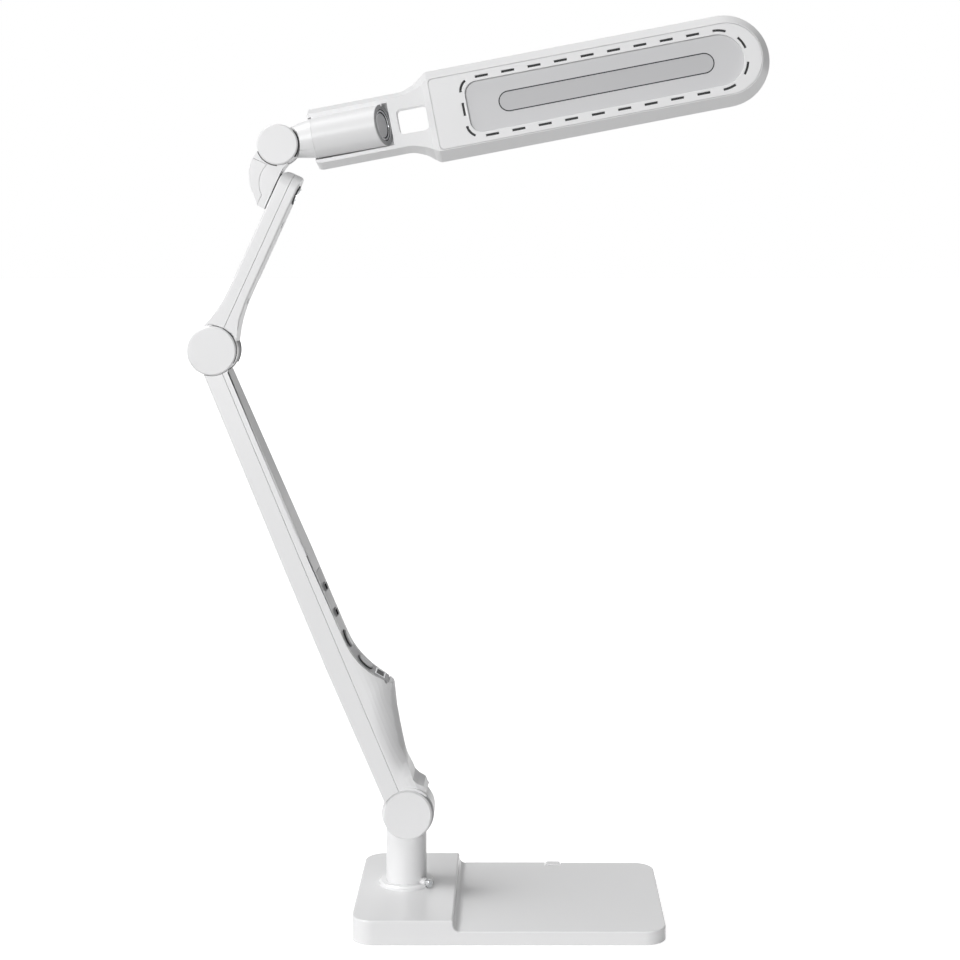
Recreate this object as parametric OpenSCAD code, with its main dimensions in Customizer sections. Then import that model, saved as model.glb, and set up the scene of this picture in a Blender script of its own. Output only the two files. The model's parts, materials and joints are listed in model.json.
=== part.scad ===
// Folding LED desk lamp: weighted base, post, two arms, knuckle, neck and a flat light head.
// Millimetres. Z is up, X points to the light's side, Y points away from the light's face.
// The origin is on the desk, on the axis of the post.

/* [Base] */
// Width of the base along X
base_w = 201; // [170:1:260]
// Depth of the base along Y
base_d = 136.3; // [115:0.1:170]
// Distance from the post's axis to the left edge of the base
post_inset = 31.4; // [30:0.1:40]
// Distance from the post's axis to the front edge of the base
post_front = 73.7; // [60:0.1:80]
// Corner radius of the base
base_corner_r = 14; // [8:0.5:20]
// Height of the lower plate above the desk
plate_h = 9; // [7.5:0.1:10]
// Height of the raised block above the desk
block_h = 15.9; // [13:0.1:18]
// Width of the raised block
block_w = 63.6; // [60:0.1:75]
// Width of the curved step down to the lower plate
step_w = 6.1; // [5:0.1:9]
// Side wall of the base shell
base_wall = 2.4; // [2:0.1:3]
// Thickness of the steel weight
weight_t = 5; // [4:0.1:5.2]
// Thickness of the non-slip pad
pad_t = 1.2; // [0.8:0.1:1.6]

/* [Post] */
// Radius of the post
post_r = 13.5; // [12:0.1:14]
// Wall of the post
post_wall = 2.5; // [2:0.1:3]
// Radius of the collar on the base
collar_r = 18.4; // [17.4:0.1:20]
// Height of the collar above the raised block
collar_h = 2.8; // [2:0.1:4]
// Height of the shoulder axis above the desk
shoulder_z = 65.3; // [62:0.1:80]
// Offset of the shoulder axis from the post's axis
shoulder_x = 1.5; // [0:0.1:2]

/* [Arms] */
// Length of the lower arm between its two axes
lower_l = 335; // [300:1:420]
// Lean of the lower arm from upright, away from the light
lower_lean = 23; // [0:1:35]
// Length of the upper arm from the elbow to the swivel
upper_l = 117.6; // [110:0.1:160]
// Lean of the upper arm from upright, towards the light
upper_lean = 24.5; // [0:0.5:40]
// Back of the lower arm behind its axis line
lower_back = 12.1; // [11:0.1:14]
// Front of the slim part of the lower arm ahead of its axis line
lower_front = 6.6; // [6:0.1:8]
// Half of the lower arm's breadth at its wide end
lower_half = 16; // [15:0.1:18]
// Half of the lower arm's breadth at the elbow
lower_half_top = 11.5; // [11:0.1:13]
// Wall of the arm shells
arm_wall = 2; // [1.6:0.1:2.4]
// Half of the upper arm's width, across its flat sides
upper_half = 6.9; // [6.6:0.1:8]
// Half of the upper arm's breadth
upper_breadth = 10; // [9:0.1:11]

/* [Joints] */
// Radius of the shoulder caps
shoulder_cap_r = 15.8; // [15:0.1:17]
// Radius of the elbow caps
elbow_cap_r = 16.5; // [15:0.1:18]
// Radius of the wrist caps
wrist_cap_r = 13.7; // [13:0.1:15]
// Half of the shoulder joint's thickness
shoulder_half = 15.5; // [15:0.1:17]
// Half of the elbow joint's thickness
elbow_half = 11.5; // [11:0.1:13]
// Half of the wrist joint's thickness
wrist_half = 11; // [10.5:0.1:12]
// Radius of the joint bolts
bolt_r = 3; // [2.5:0.1:3.5]

/* [Head] */
// Rise of the head above level
head_rise = 10.9; // [0:0.1:20]
// Distance from the wrist axis to the tip of the head
head_l = 337.3; // [300:0.1:400]
// Half of the head's width at its back
head_half = 31.3; // [30:0.1:36]
// Half of the face plate's width
face_half = 24; // [23.6:0.1:28]
// Half of the tray's width
tray_half = 21; // [20.5:0.1:24]
// Radius of the barrel at its mouth
barrel_r = 14.2; // [13.8:0.1:14.4]
// Length of the hand window
window_l = 20.2; // [18:0.1:24]
// Width of the hand window
window_w = 17; // [14:0.1:20]
// Half of the diffuser's width
diffuser_half = 17.4; // [15:0.1:17.6]
// Half of the centre lens's width
lens_half = 6.9; // [5:0.1:9]
// Number of slots round the diffuser
slot_count = 25; // [19:1:29]

/* [Hidden] */
$fn = 64;
eps = 0.01;

// Clearances and small parts
seat_gap = 0.3;          // between pieces of one body that are put together
run_gap = 0.08;          // radial gap of a pin in its bore
side_gap = 0.5;          // between the faces of two bodies at a joint, filled by a washer
swing_gap = 0.6;         // between the curved faces of two bodies at a joint
screw_r = 1.2;
screw_head_r = 2.2;
screw_head_h = 1.8;
bolt_head_h = 1.5;
white = [0.93, 0.93, 0.93];
steel = [0.72, 0.73, 0.75];
dark = [0.12, 0.12, 0.13];

// Base
base_x0 = -post_inset;
base_x1 = base_w - post_inset;
base_y0 = -post_front;
base_y1 = base_d - post_front;
rim_z = 0.5;
weight_z = pad_t;
weight_top = weight_z + weight_t;
block_x1 = base_x0 + block_w;
step_x1 = block_x1 + step_w;
block_roof = 2.2;
socket_r = 16.8;
socket_bore_r = post_r + run_gap;
base_screw_x = [base_x0 + 11, block_x1 - 8];
base_screw_y = [base_y0 + 14, base_y1 - 14];
inlet_x = 99.4;
inlet_w = 10.4;
inlet_d = 6.4;
inlet_h = plate_h + 0.8;
jack_r = 2.8;

// Post and lock screw
washer_t = 0.8;
post_z = weight_top + washer_t;
drum_r = 17.4;
drum_half = 9.3;
neck_top = shoulder_z - 9.3;
lock_z = block_h + collar_h + 0.1;
lock_boss_r = 2.9;
lock_boss_x = collar_r - 1;
lock_r = 1.5;
lock_head_r = 2.6;
lock_head_l = 2.9;
lock_turn = -35;          // direction of the lock screw, turned from x towards the front

// Shoulder, elbow and wrist
shoulder_in = drum_half + side_gap;
shoulder_cheek_t = 2.3;
elbow_tongue_half = 5;
elbow_in = elbow_tongue_half + side_gap;
elbow_cheek_t = 2.6;
wrist_tongue_half = 4;
wrist_in = wrist_tongue_half + side_gap;
wrist_cheek_half = 8.6;
cap_t = 1.6;
shell_cut_r = shoulder_cap_r + seat_gap;
lower_swing_r = drum_r + swing_gap;
upper_swing_r = elbow_cap_r + swing_gap;
elbow = [shoulder_x - lower_l * sin(lower_lean), 0, shoulder_z + lower_l * cos(lower_lean)];

// Lower arm: s runs up the arm from the shoulder axis, x points to its front
seam_x = 0.9;
taper_s = 185;
hump_s = 83.5;
hump_x = 24.8;
scoop_s = 124;
scoop_r = (pow(scoop_s - hump_s, 2) + pow(hump_x - lower_front, 2)) / (2 * (hump_x - lower_front));
heel_x = 11.9;
skirt_x = 17.3;
nose_x = 7;
nose_half = 7.6;
panel_half = 11;
panel_t = 1.2;
panel_top = 172;
panel_low = hump_s + 2.6;
core_x = -3.9;
core_half_x = 4.5;
core_half_y = 4.5;
arm_screw_s = [50, 196, lower_l - 45];
arm_screw_y = 8.2;
slim_button = [5, 15];
slim_button_s = [159.6, 141];
round_button_r = 5.6;
round_button_s = [121.7, 102];
ring_r = round_button_r + 0.9;
button_proud = 1.9;
flange_t = 0.8;
flange_gap = 0.05;
button_travel = 0.8;
board_t0 = 1;
board_bend = 24;
board_bend_s = 111;
window_s = 91.2;
window_size = [7.4, 15];

// Upper arm and knuckle, in a frame at the swivel: z runs up the arm, x points to its right side
upper_seam_x = 1;
upper_end = 12.7;
upper_flare = 11.9;
upper_flare_z = 46;
upper_core_x = 3;
lug_half = 6;
lug_left = 4.9;
lug_right = 2.4;
swivel_head_r = 5.2;
recess_r = 6;
knuckle_face = upper_half + 0.4;
wrist_local = [-17.3, 0, 26];
knuckle_round_r = 25.8;
knuckle_round_c = [-3, 10];
knuckle_seam_r = 17.5;
knuckle_seam_c = [-1.8, 4.4];
knuckle_foot_x = 13;
knuckle_low = 16.8;
knuckle_wall = 4;
swivel_nut_h = 3.4;
swivel = elbow + upper_l * [sin(upper_lean), 0, cos(upper_lean)];
wrist = swivel + [wrist_local[0] * cos(upper_lean) + wrist_local[2] * sin(upper_lean), 0,
    wrist_local[2] * cos(upper_lean) - wrist_local[0] * sin(upper_lean)];

// Head, in a frame at the wrist: x runs along the barrel, z across it, the face looks along -y
tray_x = 21.8;
tray_end = 81.2;
barrel_x = 24;
barrel_r0 = barrel_r - 0.7;
barrel_x1 = 73;
barrel_slant = 20;
neck_r = 10.4;
spigot_r = 9;
spigot_end = 60;
roll_nut_r = 10.2;
roll_nut_h = 4;
mouth_r = 11.4;
mouth_depth = 5.5;
head_back = 17;
rim_y = 0.5;
face_y = -3;
face_t = 2;
tray_rim_half = 17;
tray_wall_x = 76.2;
shoulder0_x = 105.5;
face_x0 = 104;
end_x = head_l - head_half;
floor_t = 2.2;
head_wall = 2.2;
window_x0 = tray_end;
window_x1 = window_x0 + window_l;
diffuser_x0 = 129;
diffuser_end = 300.5;
diffuser_t = 2;
diffuser_y = face_y + face_t + 0.3;
lens_x0 = 150.4;
lens_x1 = 297.8;
lens_gap = 0.4;
slot_x0 = 126.5;
slot_half = 20;
slot_end = 300.5;
slot_corner_r = 9;
slot_l = 8.7;
slot_w = 1.5;
board_t = 1.6;
board_half = 22.5;

// ---------------------------------------------------------------- shared shapes

// A 2D outline (x, z) drawn as a slab of the given half thickness along y
module side_slab(half) {
    rotate([90, 0, 0]) linear_extrude(height = 2 * half, center = true) children();
}

// A 2D outline (y, z) drawn as a slab between two x values
module plan_slab(x0, x1) {
    translate([x0, 0, 0]) rotate([90, 0, 90]) linear_extrude(height = x1 - x0) children();
}

module disc_y(r, y0, y1) {
    translate([0, y1, 0]) rotate([90, 0, 0]) cylinder(r = r, h = y1 - y0);
}

module rod_x(r, x0, x1) {
    translate([x0, 0, 0]) rotate([0, 90, 0]) cylinder(r = r, h = x1 - x0);
}

module both_sides() {
    children();
    mirror([0, 1, 0]) children();
}

module round_rect(x0, x1, y0, y1, r) {
    translate([x0 + r, y0]) square([x1 - x0 - 2 * r, y1 - y0]);
    translate([x0, y0 + r]) square([x1 - x0, y1 - y0 - 2 * r]);
    for (x = [x0 + r, x1 - r], y = [y0 + r, y1 - r]) translate([x, y]) circle(r = r);
}

module stadium(x0, x1, half) {
    translate([x0 + half, -half]) square([x1 - x0 - 2 * half, 2 * half]);
    for (x = [x0 + half, x1 - half]) translate([x, 0]) circle(r = half);
}

// A rectangle with small corners at its start and a full round end
module light_outline(x0, end_c, half, corner) {
    end_r = half;
    translate([x0 + corner, -half]) square([end_c - x0 - corner, 2 * half]);
    translate([x0, -half + corner]) square([corner + eps, 2 * (half - corner)]);
    for (z = [-1, 1]) translate([x0 + corner, z * (half - corner)]) circle(r = corner);
    translate([end_c, 0]) circle(r = end_r);
}

module lower_frame() {
    translate([shoulder_x, 0, shoulder_z]) rotate([0, -lower_lean, 0]) children();
}

module elbow_frame() {
    lower_frame() translate([0, 0, lower_l]) children();
}

module upper_frame() {
    translate(elbow) rotate([0, upper_lean, 0]) children();
}

module swivel_frame() {
    upper_frame() translate([0, 0, upper_l]) children();
}

module wrist_frame() {
    swivel_frame() translate(wrist_local) children();
}

module head_frame() {
    translate(wrist) rotate([0, -head_rise, 0]) children();
}

// Hexagon nut or head along x
module hex_x(r, x0, x1) {
    translate([x0, 0, 0]) rotate([0, 90, 0]) cylinder(r = r, h = x1 - x0, $fn = 6);
}

module hex_y(r, y0, y1) {
    translate([0, y1, 0]) rotate([90, 0, 0]) cylinder(r = r, h = y1 - y0, $fn = 6);
}

// ---------------------------------------------------------------- base

module base_outline(inset) {
    round_rect(base_x0 + inset, base_x1 - inset, base_y0 + inset, base_y1 - inset,
        base_corner_r - inset);
}

// Side view of the base: block, curved step, plate
module base_side() {
    crest_r = 1.6;
    drop = block_h - plate_h;
    foot_r = step_w - crest_r;
    low = [for (a = [0:10:90]) [step_x1 - foot_r * sin(a), plate_h + foot_r * (1 - cos(a))]];
    high = [for (a = [90:-15:0]) [block_x1 + crest_r * sin(a), block_h - crest_r * (1 - cos(a))]];
    polygon(concat([[base_x0 - 1, rim_z], [base_x1 + 1, rim_z], [base_x1 + 1, plate_h]], low,
        [for (p = high) if (p[1] > plate_h + min(foot_r, drop)) p], [[base_x0 - 1, block_h]]));
}

module base_shell() {
    color(white) difference() {
        union() {
            difference() {
                intersection() {
                    translate([0, 0, rim_z]) linear_extrude(height = block_h) base_outline(0);
                    side_slab(base_d) base_side();
                }
                translate([0, 0, -1]) linear_extrude(height = weight_top + 1)
                    base_outline(base_wall);
                intersection() {
                    translate([0, 0, -1]) linear_extrude(height = block_h - block_roof + 1)
                        base_outline(base_wall);
                    translate([base_x0, -base_d, 0])
                        cube([block_w - 2 * base_wall, 2 * base_d, block_h]);
                }
            }
            for (x = base_screw_x, y = base_screw_y)
                translate([x, y, weight_top]) cylinder(r = 4, h = block_h - block_roof - weight_top + eps);
            translate([0, 0, weight_top])
                cylinder(r = socket_r + 2.6, h = block_h - block_roof - weight_top + eps);
        }
        translate([0, 0, -1]) cylinder(r = socket_r + seat_gap, h = block_h + 2);
        for (x = base_screw_x, y = base_screw_y)
            translate([x, y, 0]) cylinder(r = screw_r + run_gap, h = block_h - block_roof - 1);
        translate([inlet_x - inlet_w / 2 - seat_gap, base_y1 - inlet_d - seat_gap, -1])
            cube([inlet_w + 2 * seat_gap, 20, 20]);
    }
}

module base_weight() {
    color(steel) difference() {
        translate([0, 0, weight_z]) linear_extrude(height = weight_t)
            base_outline(base_wall + seat_gap);
        for (x = base_screw_x, y = base_screw_y) translate([x, y, 0]) {
            cylinder(r = screw_r + run_gap, h = 20);
            cylinder(r = screw_head_r + seat_gap, h = weight_z + screw_head_h + 0.1);
        }
        for (a = [90, 210, 330]) rotate([0, 0, a]) translate([socket_screw_pcr, 0, 0]) {
            cylinder(r = screw_r - 0.1 + run_gap, h = 20);
            cylinder(r = screw_head_r + seat_gap, h = weight_z + screw_head_h + 0.1);
        }
        translate([inlet_x - inlet_w / 2 - seat_gap, base_y1 - inlet_d - seat_gap, 0])
            cube([inlet_w + 2 * seat_gap, 20, 20]);
        cylinder(r = 5, h = 20);
    }
}

socket_screw_pcr = (socket_r + socket_bore_r) / 2;

module base_pad() {
    color(dark) linear_extrude(height = pad_t) base_outline(base_wall + seat_gap);
}

module pan_screw(length) {
    cylinder(r = screw_head_r, h = screw_head_h);
    cylinder(r = screw_r, h = length);
}

module base_screws() {
    color(steel) for (x = base_screw_x, y = base_screw_y)
        translate([x, y, weight_z + 0.1]) pan_screw(9.5);
}

module socket_screws() {
    color(steel) for (a = [90, 210, 330]) rotate([0, 0, a])
        translate([socket_screw_pcr, 0, weight_z + 0.1]) {
            cylinder(r = screw_head_r, h = screw_head_h);
            cylinder(r = screw_r - 0.1, h = 9.5);
        }
}

// Low-voltage inlet at the rear edge, its top just above the plate
module power_inlet() {
    color(white) difference() {
        union() {
            translate([inlet_x - inlet_w / 2, base_y1 - inlet_d, weight_z])
                cube([inlet_w, inlet_d, inlet_h - weight_z - 1.5]);
            translate([inlet_x - inlet_w / 2 + 1.5, base_y1 - inlet_d, weight_z])
                cube([inlet_w - 3, inlet_d, inlet_h - weight_z]);
            for (x = [-1, 1]) translate([inlet_x + x * (inlet_w / 2 - 1.5), 0, inlet_h - 1.5])
                disc_y(1.5, base_y1 - inlet_d, base_y1);
        }
        translate([inlet_x, 0, 5.4]) disc_y(jack_r, base_y1 - 5.2, base_y1 + 1);
    }
    color(steel) translate([inlet_x, 0, 5.4]) disc_y(0.8, base_y1 - 5.7, base_y1 - 1);
}

module lock_frame() {
    translate([0, 0, lock_z]) rotate([0, 0, lock_turn]) children();
}

module post_socket() {
    color(white) difference() {
        union() {
            translate([0, 0, weight_top]) cylinder(r = socket_r, h = block_h + collar_h - weight_top);
            translate([0, 0, block_h]) cylinder(r = collar_r, h = collar_h - 1);
            translate([0, 0, block_h + collar_h - 1]) cylinder(r1 = collar_r, r2 = collar_r - 1, h = 1);
            lock_frame() rod_x(lock_boss_r, 0, lock_boss_x);
        }
        translate([0, 0, weight_top - 1]) cylinder(r = socket_bore_r, h = 40);
        lock_frame() rod_x(lock_r + run_gap, 0, 40);
        lock_frame() rod_x(lock_head_r + 0.3, lock_boss_x, 40);
        for (a = [90, 210, 330]) rotate([0, 0, a]) translate([socket_screw_pcr, 0, 0])
            cylinder(r = screw_r - 0.1 + run_gap, h = weight_z + 9.8);
    }
}

// Clamps the post. Shown slackened: its tip stands just clear, so the post can turn
module lock_screw() {
    color(steel) lock_frame() {
        rod_x(lock_r, post_r + 0.1, lock_boss_x + 1);
        difference() {
            rod_x(lock_head_r, lock_boss_x + 0.2, lock_boss_x + 0.2 + lock_head_l);
            hex_x(1.4, lock_boss_x + 1.6, lock_boss_x + 8);
        }
    }
}

// ---------------------------------------------------------------- post

module post() {
    color(white) difference() {
        union() {
            translate([0, 0, post_z]) cylinder(r = post_r, h = neck_top - post_z);
            translate([shoulder_x, 0, shoulder_z]) disc_y(drum_r, -drum_half, drum_half);
            translate([shoulder_x, 0, shoulder_z]) disc_y(9, -shoulder_in + side_gap, shoulder_in - side_gap);
        }
        translate([0, 0, post_z - 1])
            cylinder(r = post_r - post_wall, h = shoulder_z - drum_r - 4 - post_z + 1);
        translate([shoulder_x, 0, shoulder_z]) both_sides()
            disc_y(shoulder_cap_r + swing_gap, drum_half, 40);
        translate([shoulder_x, 0, shoulder_z]) disc_y(bolt_r + run_gap, -40, 40);
        translate([-8, 0, shoulder_z - drum_r - 6]) cylinder(r = 2, h = 40);
    }
}

module post_washer() {
    color("ivory") difference() {
        translate([0, 0, weight_top]) cylinder(r = post_r - 0.3, h = washer_t);
        cylinder(r = post_r - post_wall, h = 20);
    }
}

// ---------------------------------------------------------------- lower arm

function scoop_x(s, inset = 0) = lower_front + scoop_r
    - sqrt(pow(scoop_r + inset, 2) - pow(scoop_s - s, 2));

// Front outline of the lower arm, from the elbow down to the shoulder, moved in by inset
function front_points(inset) = concat(
    [[lower_front - 1.8 - inset, lower_l + 40], [lower_front - inset, panel_top + 4],
        [lower_front - inset, scoop_s]],
    [for (i = [1:9]) let (s = scoop_s - i * (scoop_s - hump_s) / 9)
        [scoop_x(s, inset), s + (i == 9 ? -inset * 0.3 : 0)]],
    [[hump_x - 0.2 - inset * 1.1, hump_s - 2 - inset], [hump_x - 4.3 - inset, 68],
        [heel_x + 5.7 - inset, 55], [heel_x + 2.9 - inset, 41], [heel_x + 0.8 - inset, 27],
        [heel_x + 0.6 - inset, 20], [heel_x + 2.2 - inset, 16.6], [skirt_x - inset, 13],
        [skirt_x - inset, 8], [heel_x - inset, 8], [heel_x - inset, -30]]);

// Side view of the lower arm, slightly waisted towards both joints
module lower_side(inset) {
    polygon(concat(front_points(inset), [[-lower_back + 2.4 + inset, -30],
        [-lower_back + inset, 110], [-lower_back + 1.2 + inset, lower_l + 40]]));
}

module lower_plan(inset) {
    half = lower_half - inset;
    top = lower_half_top - inset;
    slope = (half - top) / (lower_l - taper_s);
    far = lower_l + 40;
    polygon([[-half, -30], [half, -30], [half, taper_s], [half - slope * (far - taper_s), far],
        [-half + slope * (far - taper_s), far], [-half, taper_s]]);
}

// Cross section of the lower arm: straight sides that round in towards the hump's nose
module lower_section(inset) {
    far = hump_x + 5;
    steps = [for (i = [0:8]) let (k = i / 8) [nose_x + k * (far - nose_x),
        lower_half - inset - (lower_half - nose_half) * k * k * pow((far - nose_x) / (hump_x - nose_x), 2)]];
    polygon(concat([[-30, -lower_half + inset]], [for (p = steps) [p[0], -p[1]]],
        [for (i = [8:-1:0]) steps[i]], [[-30, lower_half - inset]]));
}

module lower_solid(inset) {
    intersection() {
        side_slab(40) lower_side(inset);
        plan_slab(-60, 60) lower_plan(inset);
        translate([0, 0, -40]) linear_extrude(height = lower_l + 100) lower_section(inset);
    }
}

// What the shells leave free round the two joints
module lower_ends() {
    disc_y(shell_cut_r, -50, 50);
    disc_y(lower_swing_r, -shoulder_in, shoulder_in);
    translate([-50, -50, -60]) cube([100, 100, 60 - 2]);
    translate([0, 0, lower_l]) disc_y(elbow_cap_r + seat_gap, -50, 50);
    translate([-50, -50, lower_l + 2]) cube([100, 100, 60]);
}

module arm_screw_bosses(x0, x1) {
    for (s = arm_screw_s) translate([0, arm_screw_y, s]) rod_x(screw_head_r + 0.9, x0, x1);
}

module lower_arm_rear_shell() {
    color(white) lower_frame() difference() {
        union() {
            difference() {
                lower_solid(0);
                lower_solid(arm_wall);
            }
            intersection() {
                lower_solid(0.5);
                arm_screw_bosses(-lower_back, seam_x);
            }
        }
        translate([seam_x, -50, -50]) cube([100, 100, 600]);
        lower_ends();
        for (s = arm_screw_s) translate([0, arm_screw_y, s]) {
            rod_x(screw_r + run_gap, -40, 10);
            rod_x(screw_head_r + 0.1, -40, -lower_back + 3);
        }
        core_clear();
    }
}

module lower_arm_front_shell() {
    color(white) lower_frame() difference() {
        union() {
            difference() {
                lower_solid(0);
                lower_solid(arm_wall);
            }
            intersection() {
                lower_solid(0.5);
                arm_screw_bosses(seam_x, 40);
            }
        }
        translate([seam_x - 100, -50, -50]) cube([100, 100, 600]);
        lower_ends();
        for (s = arm_screw_s) translate([0, arm_screw_y, s]) rod_x(screw_r + run_gap, -40, lower_front - 1);
        panel_strip(panel_half + 0.2, -1, panel_t + 0.1, 0.3);
        on_face(window_s) translate([-panel_t - 0.3, -window_size[1] / 2 - 0.2, -window_size[0] / 2 - 0.2])
            cube([10, window_size[1] + 0.4, window_size[0] + 0.4]);
        panel_strip(panel_half - 1.5, -1, 8, -3);
        core_clear();
    }
}

// Strip along the control face, from above the face down to the given depth below it
module panel_strip(half, above, depth, longer) {
    outer = [for (i = [0:8]) let (s = scoop_s - i * (scoop_s - panel_low + longer) / 8)
        [scoop_x(s) - above, s]];
    inner = [for (i = [8:-1:0]) let (s = scoop_s - i * (scoop_s - panel_low + longer) / 8)
        [scoop_x(s) - depth * cos(scoop_angle(s)), s - depth * sin(scoop_angle(s))]];
    side_slab(half) polygon(concat([[lower_front - above, panel_top + longer]], outer, inner,
        [[lower_front - depth, panel_top + longer]]));
}

function scoop_angle(s) = s > scoop_s ? 0 : asin((scoop_s - s) / scoop_r);
function face_x(s) = s > scoop_s ? lower_front : scoop_x(s);

// Puts its children on the control face at s, with x standing out of the face
module on_face(s) {
    translate([face_x(s), 0, s]) rotate([0, -scoop_angle(s), 0]) children();
}

module slim_outline(grow) {
    r = slim_button[0] / 2 + grow;
    for (y = [-1, 1]) translate([y * (slim_button[1] - slim_button[0]) / 2, 0]) circle(r = r);
    translate([-(slim_button[1] - slim_button[0]) / 2, -r])
        square([slim_button[1] - slim_button[0], 2 * r]);
}

module control_panel() {
    color(white) lower_frame() difference() {
        intersection() {
            panel_strip(panel_half, 0, panel_t, 0);
            translate([0, 0, -40]) linear_extrude(height = 300) lower_section(1.2);
        }
        for (s = slim_button_s) on_face(s) plan_slab(-10, 10) slim_outline(0.3);
        for (s = round_button_s) on_face(s) rod_x(ring_r + 0.1, -10, 10);
        on_face(window_s) translate([-10, -window_size[1] / 2, -window_size[0] / 2])
            cube([20, window_size[1], window_size[0]]);
    }
}

module slim_key(s) {
    lower_frame() on_face(s) {
        plan_slab(-panel_t - flange_gap - flange_t, button_proud - 0.5) slim_outline(0);
        plan_slab(-panel_t - flange_gap - flange_t, -panel_t - flange_gap) slim_outline(1);
    }
}

module round_key(s) {
    color(white) lower_frame() on_face(s) {
        rod_x(round_button_r, -panel_t - flange_gap - flange_t, button_proud);
        rod_x(round_button_r + 0.7, -panel_t - flange_gap - flange_t, -panel_t - flange_gap);
    }
}

module button_up() {
    color(dark) slim_key(slim_button_s[0]);
}

module button_down() {
    color(dark) slim_key(slim_button_s[1]);
}

module button_colour() {
    round_key(round_button_s[0]);
}

module button_power() {
    round_key(round_button_s[1]);
}

module button_rings() {
    color(steel) lower_frame() for (s = round_button_s) on_face(s) difference() {
        rod_x(ring_r, -panel_t, 0.8);
        rod_x(round_button_r + 0.3, -10, 10);
    }
}

module window_bezel() {
    color(steel) lower_frame() on_face(window_s) difference() {
        translate([-panel_t, -window_size[1] / 2, -window_size[0] / 2])
            cube([panel_t + 0.9, window_size[1], window_size[0]]);
        translate([-10, -window_size[1] / 2 + 1, -window_size[0] / 2 + 1])
            cube([20, window_size[1] - 2, window_size[0] - 2]);
    }
}

module indicator_window() {
    color(dark) lower_frame() on_face(window_s)
        translate([-panel_t, -window_size[1] / 2 + 1, -window_size[0] / 2 + 1])
            cube([panel_t + 0.3, window_size[1] - 2, window_size[0] - 2]);
}

// Board behind the panel: a straight part, a part bent with the scoop, and a switch for each button
module control_board() {
    half = panel_half - 3;
    wide_half = lower_half - arm_wall - seat_gap;
    switch_x = -panel_t - flange_gap - flange_t - button_travel - 0.05;
    switch_h = 1.4;
    board_x = lower_front + switch_x - switch_h;
    color("green") lower_frame() {
        translate([board_x - board_t0, -wide_half, board_bend_s]) cube([board_t0, 2 * wide_half, 58]);
        translate([board_x, 0, board_bend_s]) rotate([0, -board_bend, 0])
            translate([-board_t0, -half, -26]) cube([board_t0, 2 * half, 26.3]);
    }
    color(steel) lower_frame() {
        for (s = slim_button_s) on_face(s) translate([switch_x - switch_h - 0.2, -2.4, -2.4])
            cube([switch_h + 0.2, 4.8, 4.8]);
        on_face(round_button_s[0]) translate([switch_x - switch_h - 0.3, -2.4, -2.4])
            cube([switch_h + 0.3, 4.8, 4.8]);
        on_face(round_button_s[1]) translate([switch_x - switch_h - 1.2, -2.4, -2.4])
            cube([switch_h + 1.2, 4.8, 4.8]);
    }
}

// Metal core: bar with a fork for the shoulder at its foot and a fork for the elbow at its top
module core_bar(grow) {
    translate([core_x - core_half_x - grow, -core_half_y - grow, lower_swing_r + 1])
        cube([2 * (core_half_x + grow), 2 * (core_half_y + grow),
            lower_l - lower_swing_r - elbow_cap_r - 3]);
}

module fork(inner, cheek_t, r, yoke_z, yoke_t, x_half) {
    both_sides() {
        disc_y(r, inner, inner + cheek_t);
        translate([core_x - x_half, inner, 0]) cube([2 * x_half, cheek_t, yoke_z + yoke_t]);
    }
    translate([core_x - x_half, -inner - cheek_t, yoke_z])
        cube([2 * x_half, 2 * (inner + cheek_t), yoke_t]);
}

module lower_arm_core() {
    color(white) lower_frame() difference() {
        union() {
            core_bar(0);
            fork(shoulder_in, shoulder_cheek_t, shoulder_cap_r - 1.6, lower_swing_r + 0.6, 4, core_half_x + 1.5);
            translate([0, 0, lower_l]) mirror([0, 0, 1])
                fork(elbow_in, elbow_cheek_t, elbow_cap_r - 1.6, elbow_cap_r + 0.9, 4, core_half_x + 1.5);
        }
        disc_y(bolt_r + run_gap, -50, 50);
        translate([0, 0, lower_l]) disc_y(bolt_r + run_gap, -50, 50);
    }
}

// Room round the core's forks where they pass through the shells
module core_clear() {
    x_half = core_half_x + 1.5 + 0.2;
    translate([core_x - x_half, -shoulder_in - shoulder_cheek_t - 0.2, 0])
        cube([2 * x_half, 2 * (shoulder_in + shoulder_cheek_t + 0.2), lower_swing_r + 5]);
    translate([core_x - x_half, -elbow_in - elbow_cheek_t - 0.2, lower_l - elbow_cap_r - 5.2])
        cube([2 * x_half, 2 * (elbow_in + elbow_cheek_t + 0.2), 40]);
}

module lower_arm_screws() {
    color(steel) lower_frame() for (s = arm_screw_s) translate([0, arm_screw_y, s]) {
        rod_x(screw_head_r, -lower_back + 3 - screw_head_h, -lower_back + 3);
        rod_x(screw_r, -lower_back + 2, lower_front - 1.2);
    }
}

// A cup-shaped cap over each side of a fork, with a slot where the cheek comes out
module joint_caps(r, inner, outer, x_half) {
    both_sides() difference() {
        union() {
            disc_y(r, inner, outer - 1);
            translate([0, outer, 0]) rotate([90, 0, 0]) cylinder(r1 = r - 1, r2 = r, h = 1);
        }
        disc_y(r - 1.4, inner - 1, outer - cap_t);
        translate([core_x - x_half, inner - 1, 0]) cube([2 * x_half, outer - cap_t - inner + 1, 60]);
    }
}

// Bolt along y with its head under the front cap, and the nut under the rear cap
module joint_bolt(seat) {
    disc_y(bolt_r, -seat - bolt_head_h, seat + bolt_head_h);
    hex_y(bolt_r + 2.4, -seat - bolt_head_h, -seat);
}

module joint_nut(seat) {
    difference() {
        hex_y(bolt_r + 2.4, seat, seat + bolt_head_h);
        disc_y(bolt_r + 0.02, -50, 50);
    }
}

module joint_washers(r, inner) {
    both_sides() difference() {
        disc_y(r, inner - side_gap, inner);
        disc_y(bolt_r + 0.2, -50, 50);
    }
}

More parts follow.
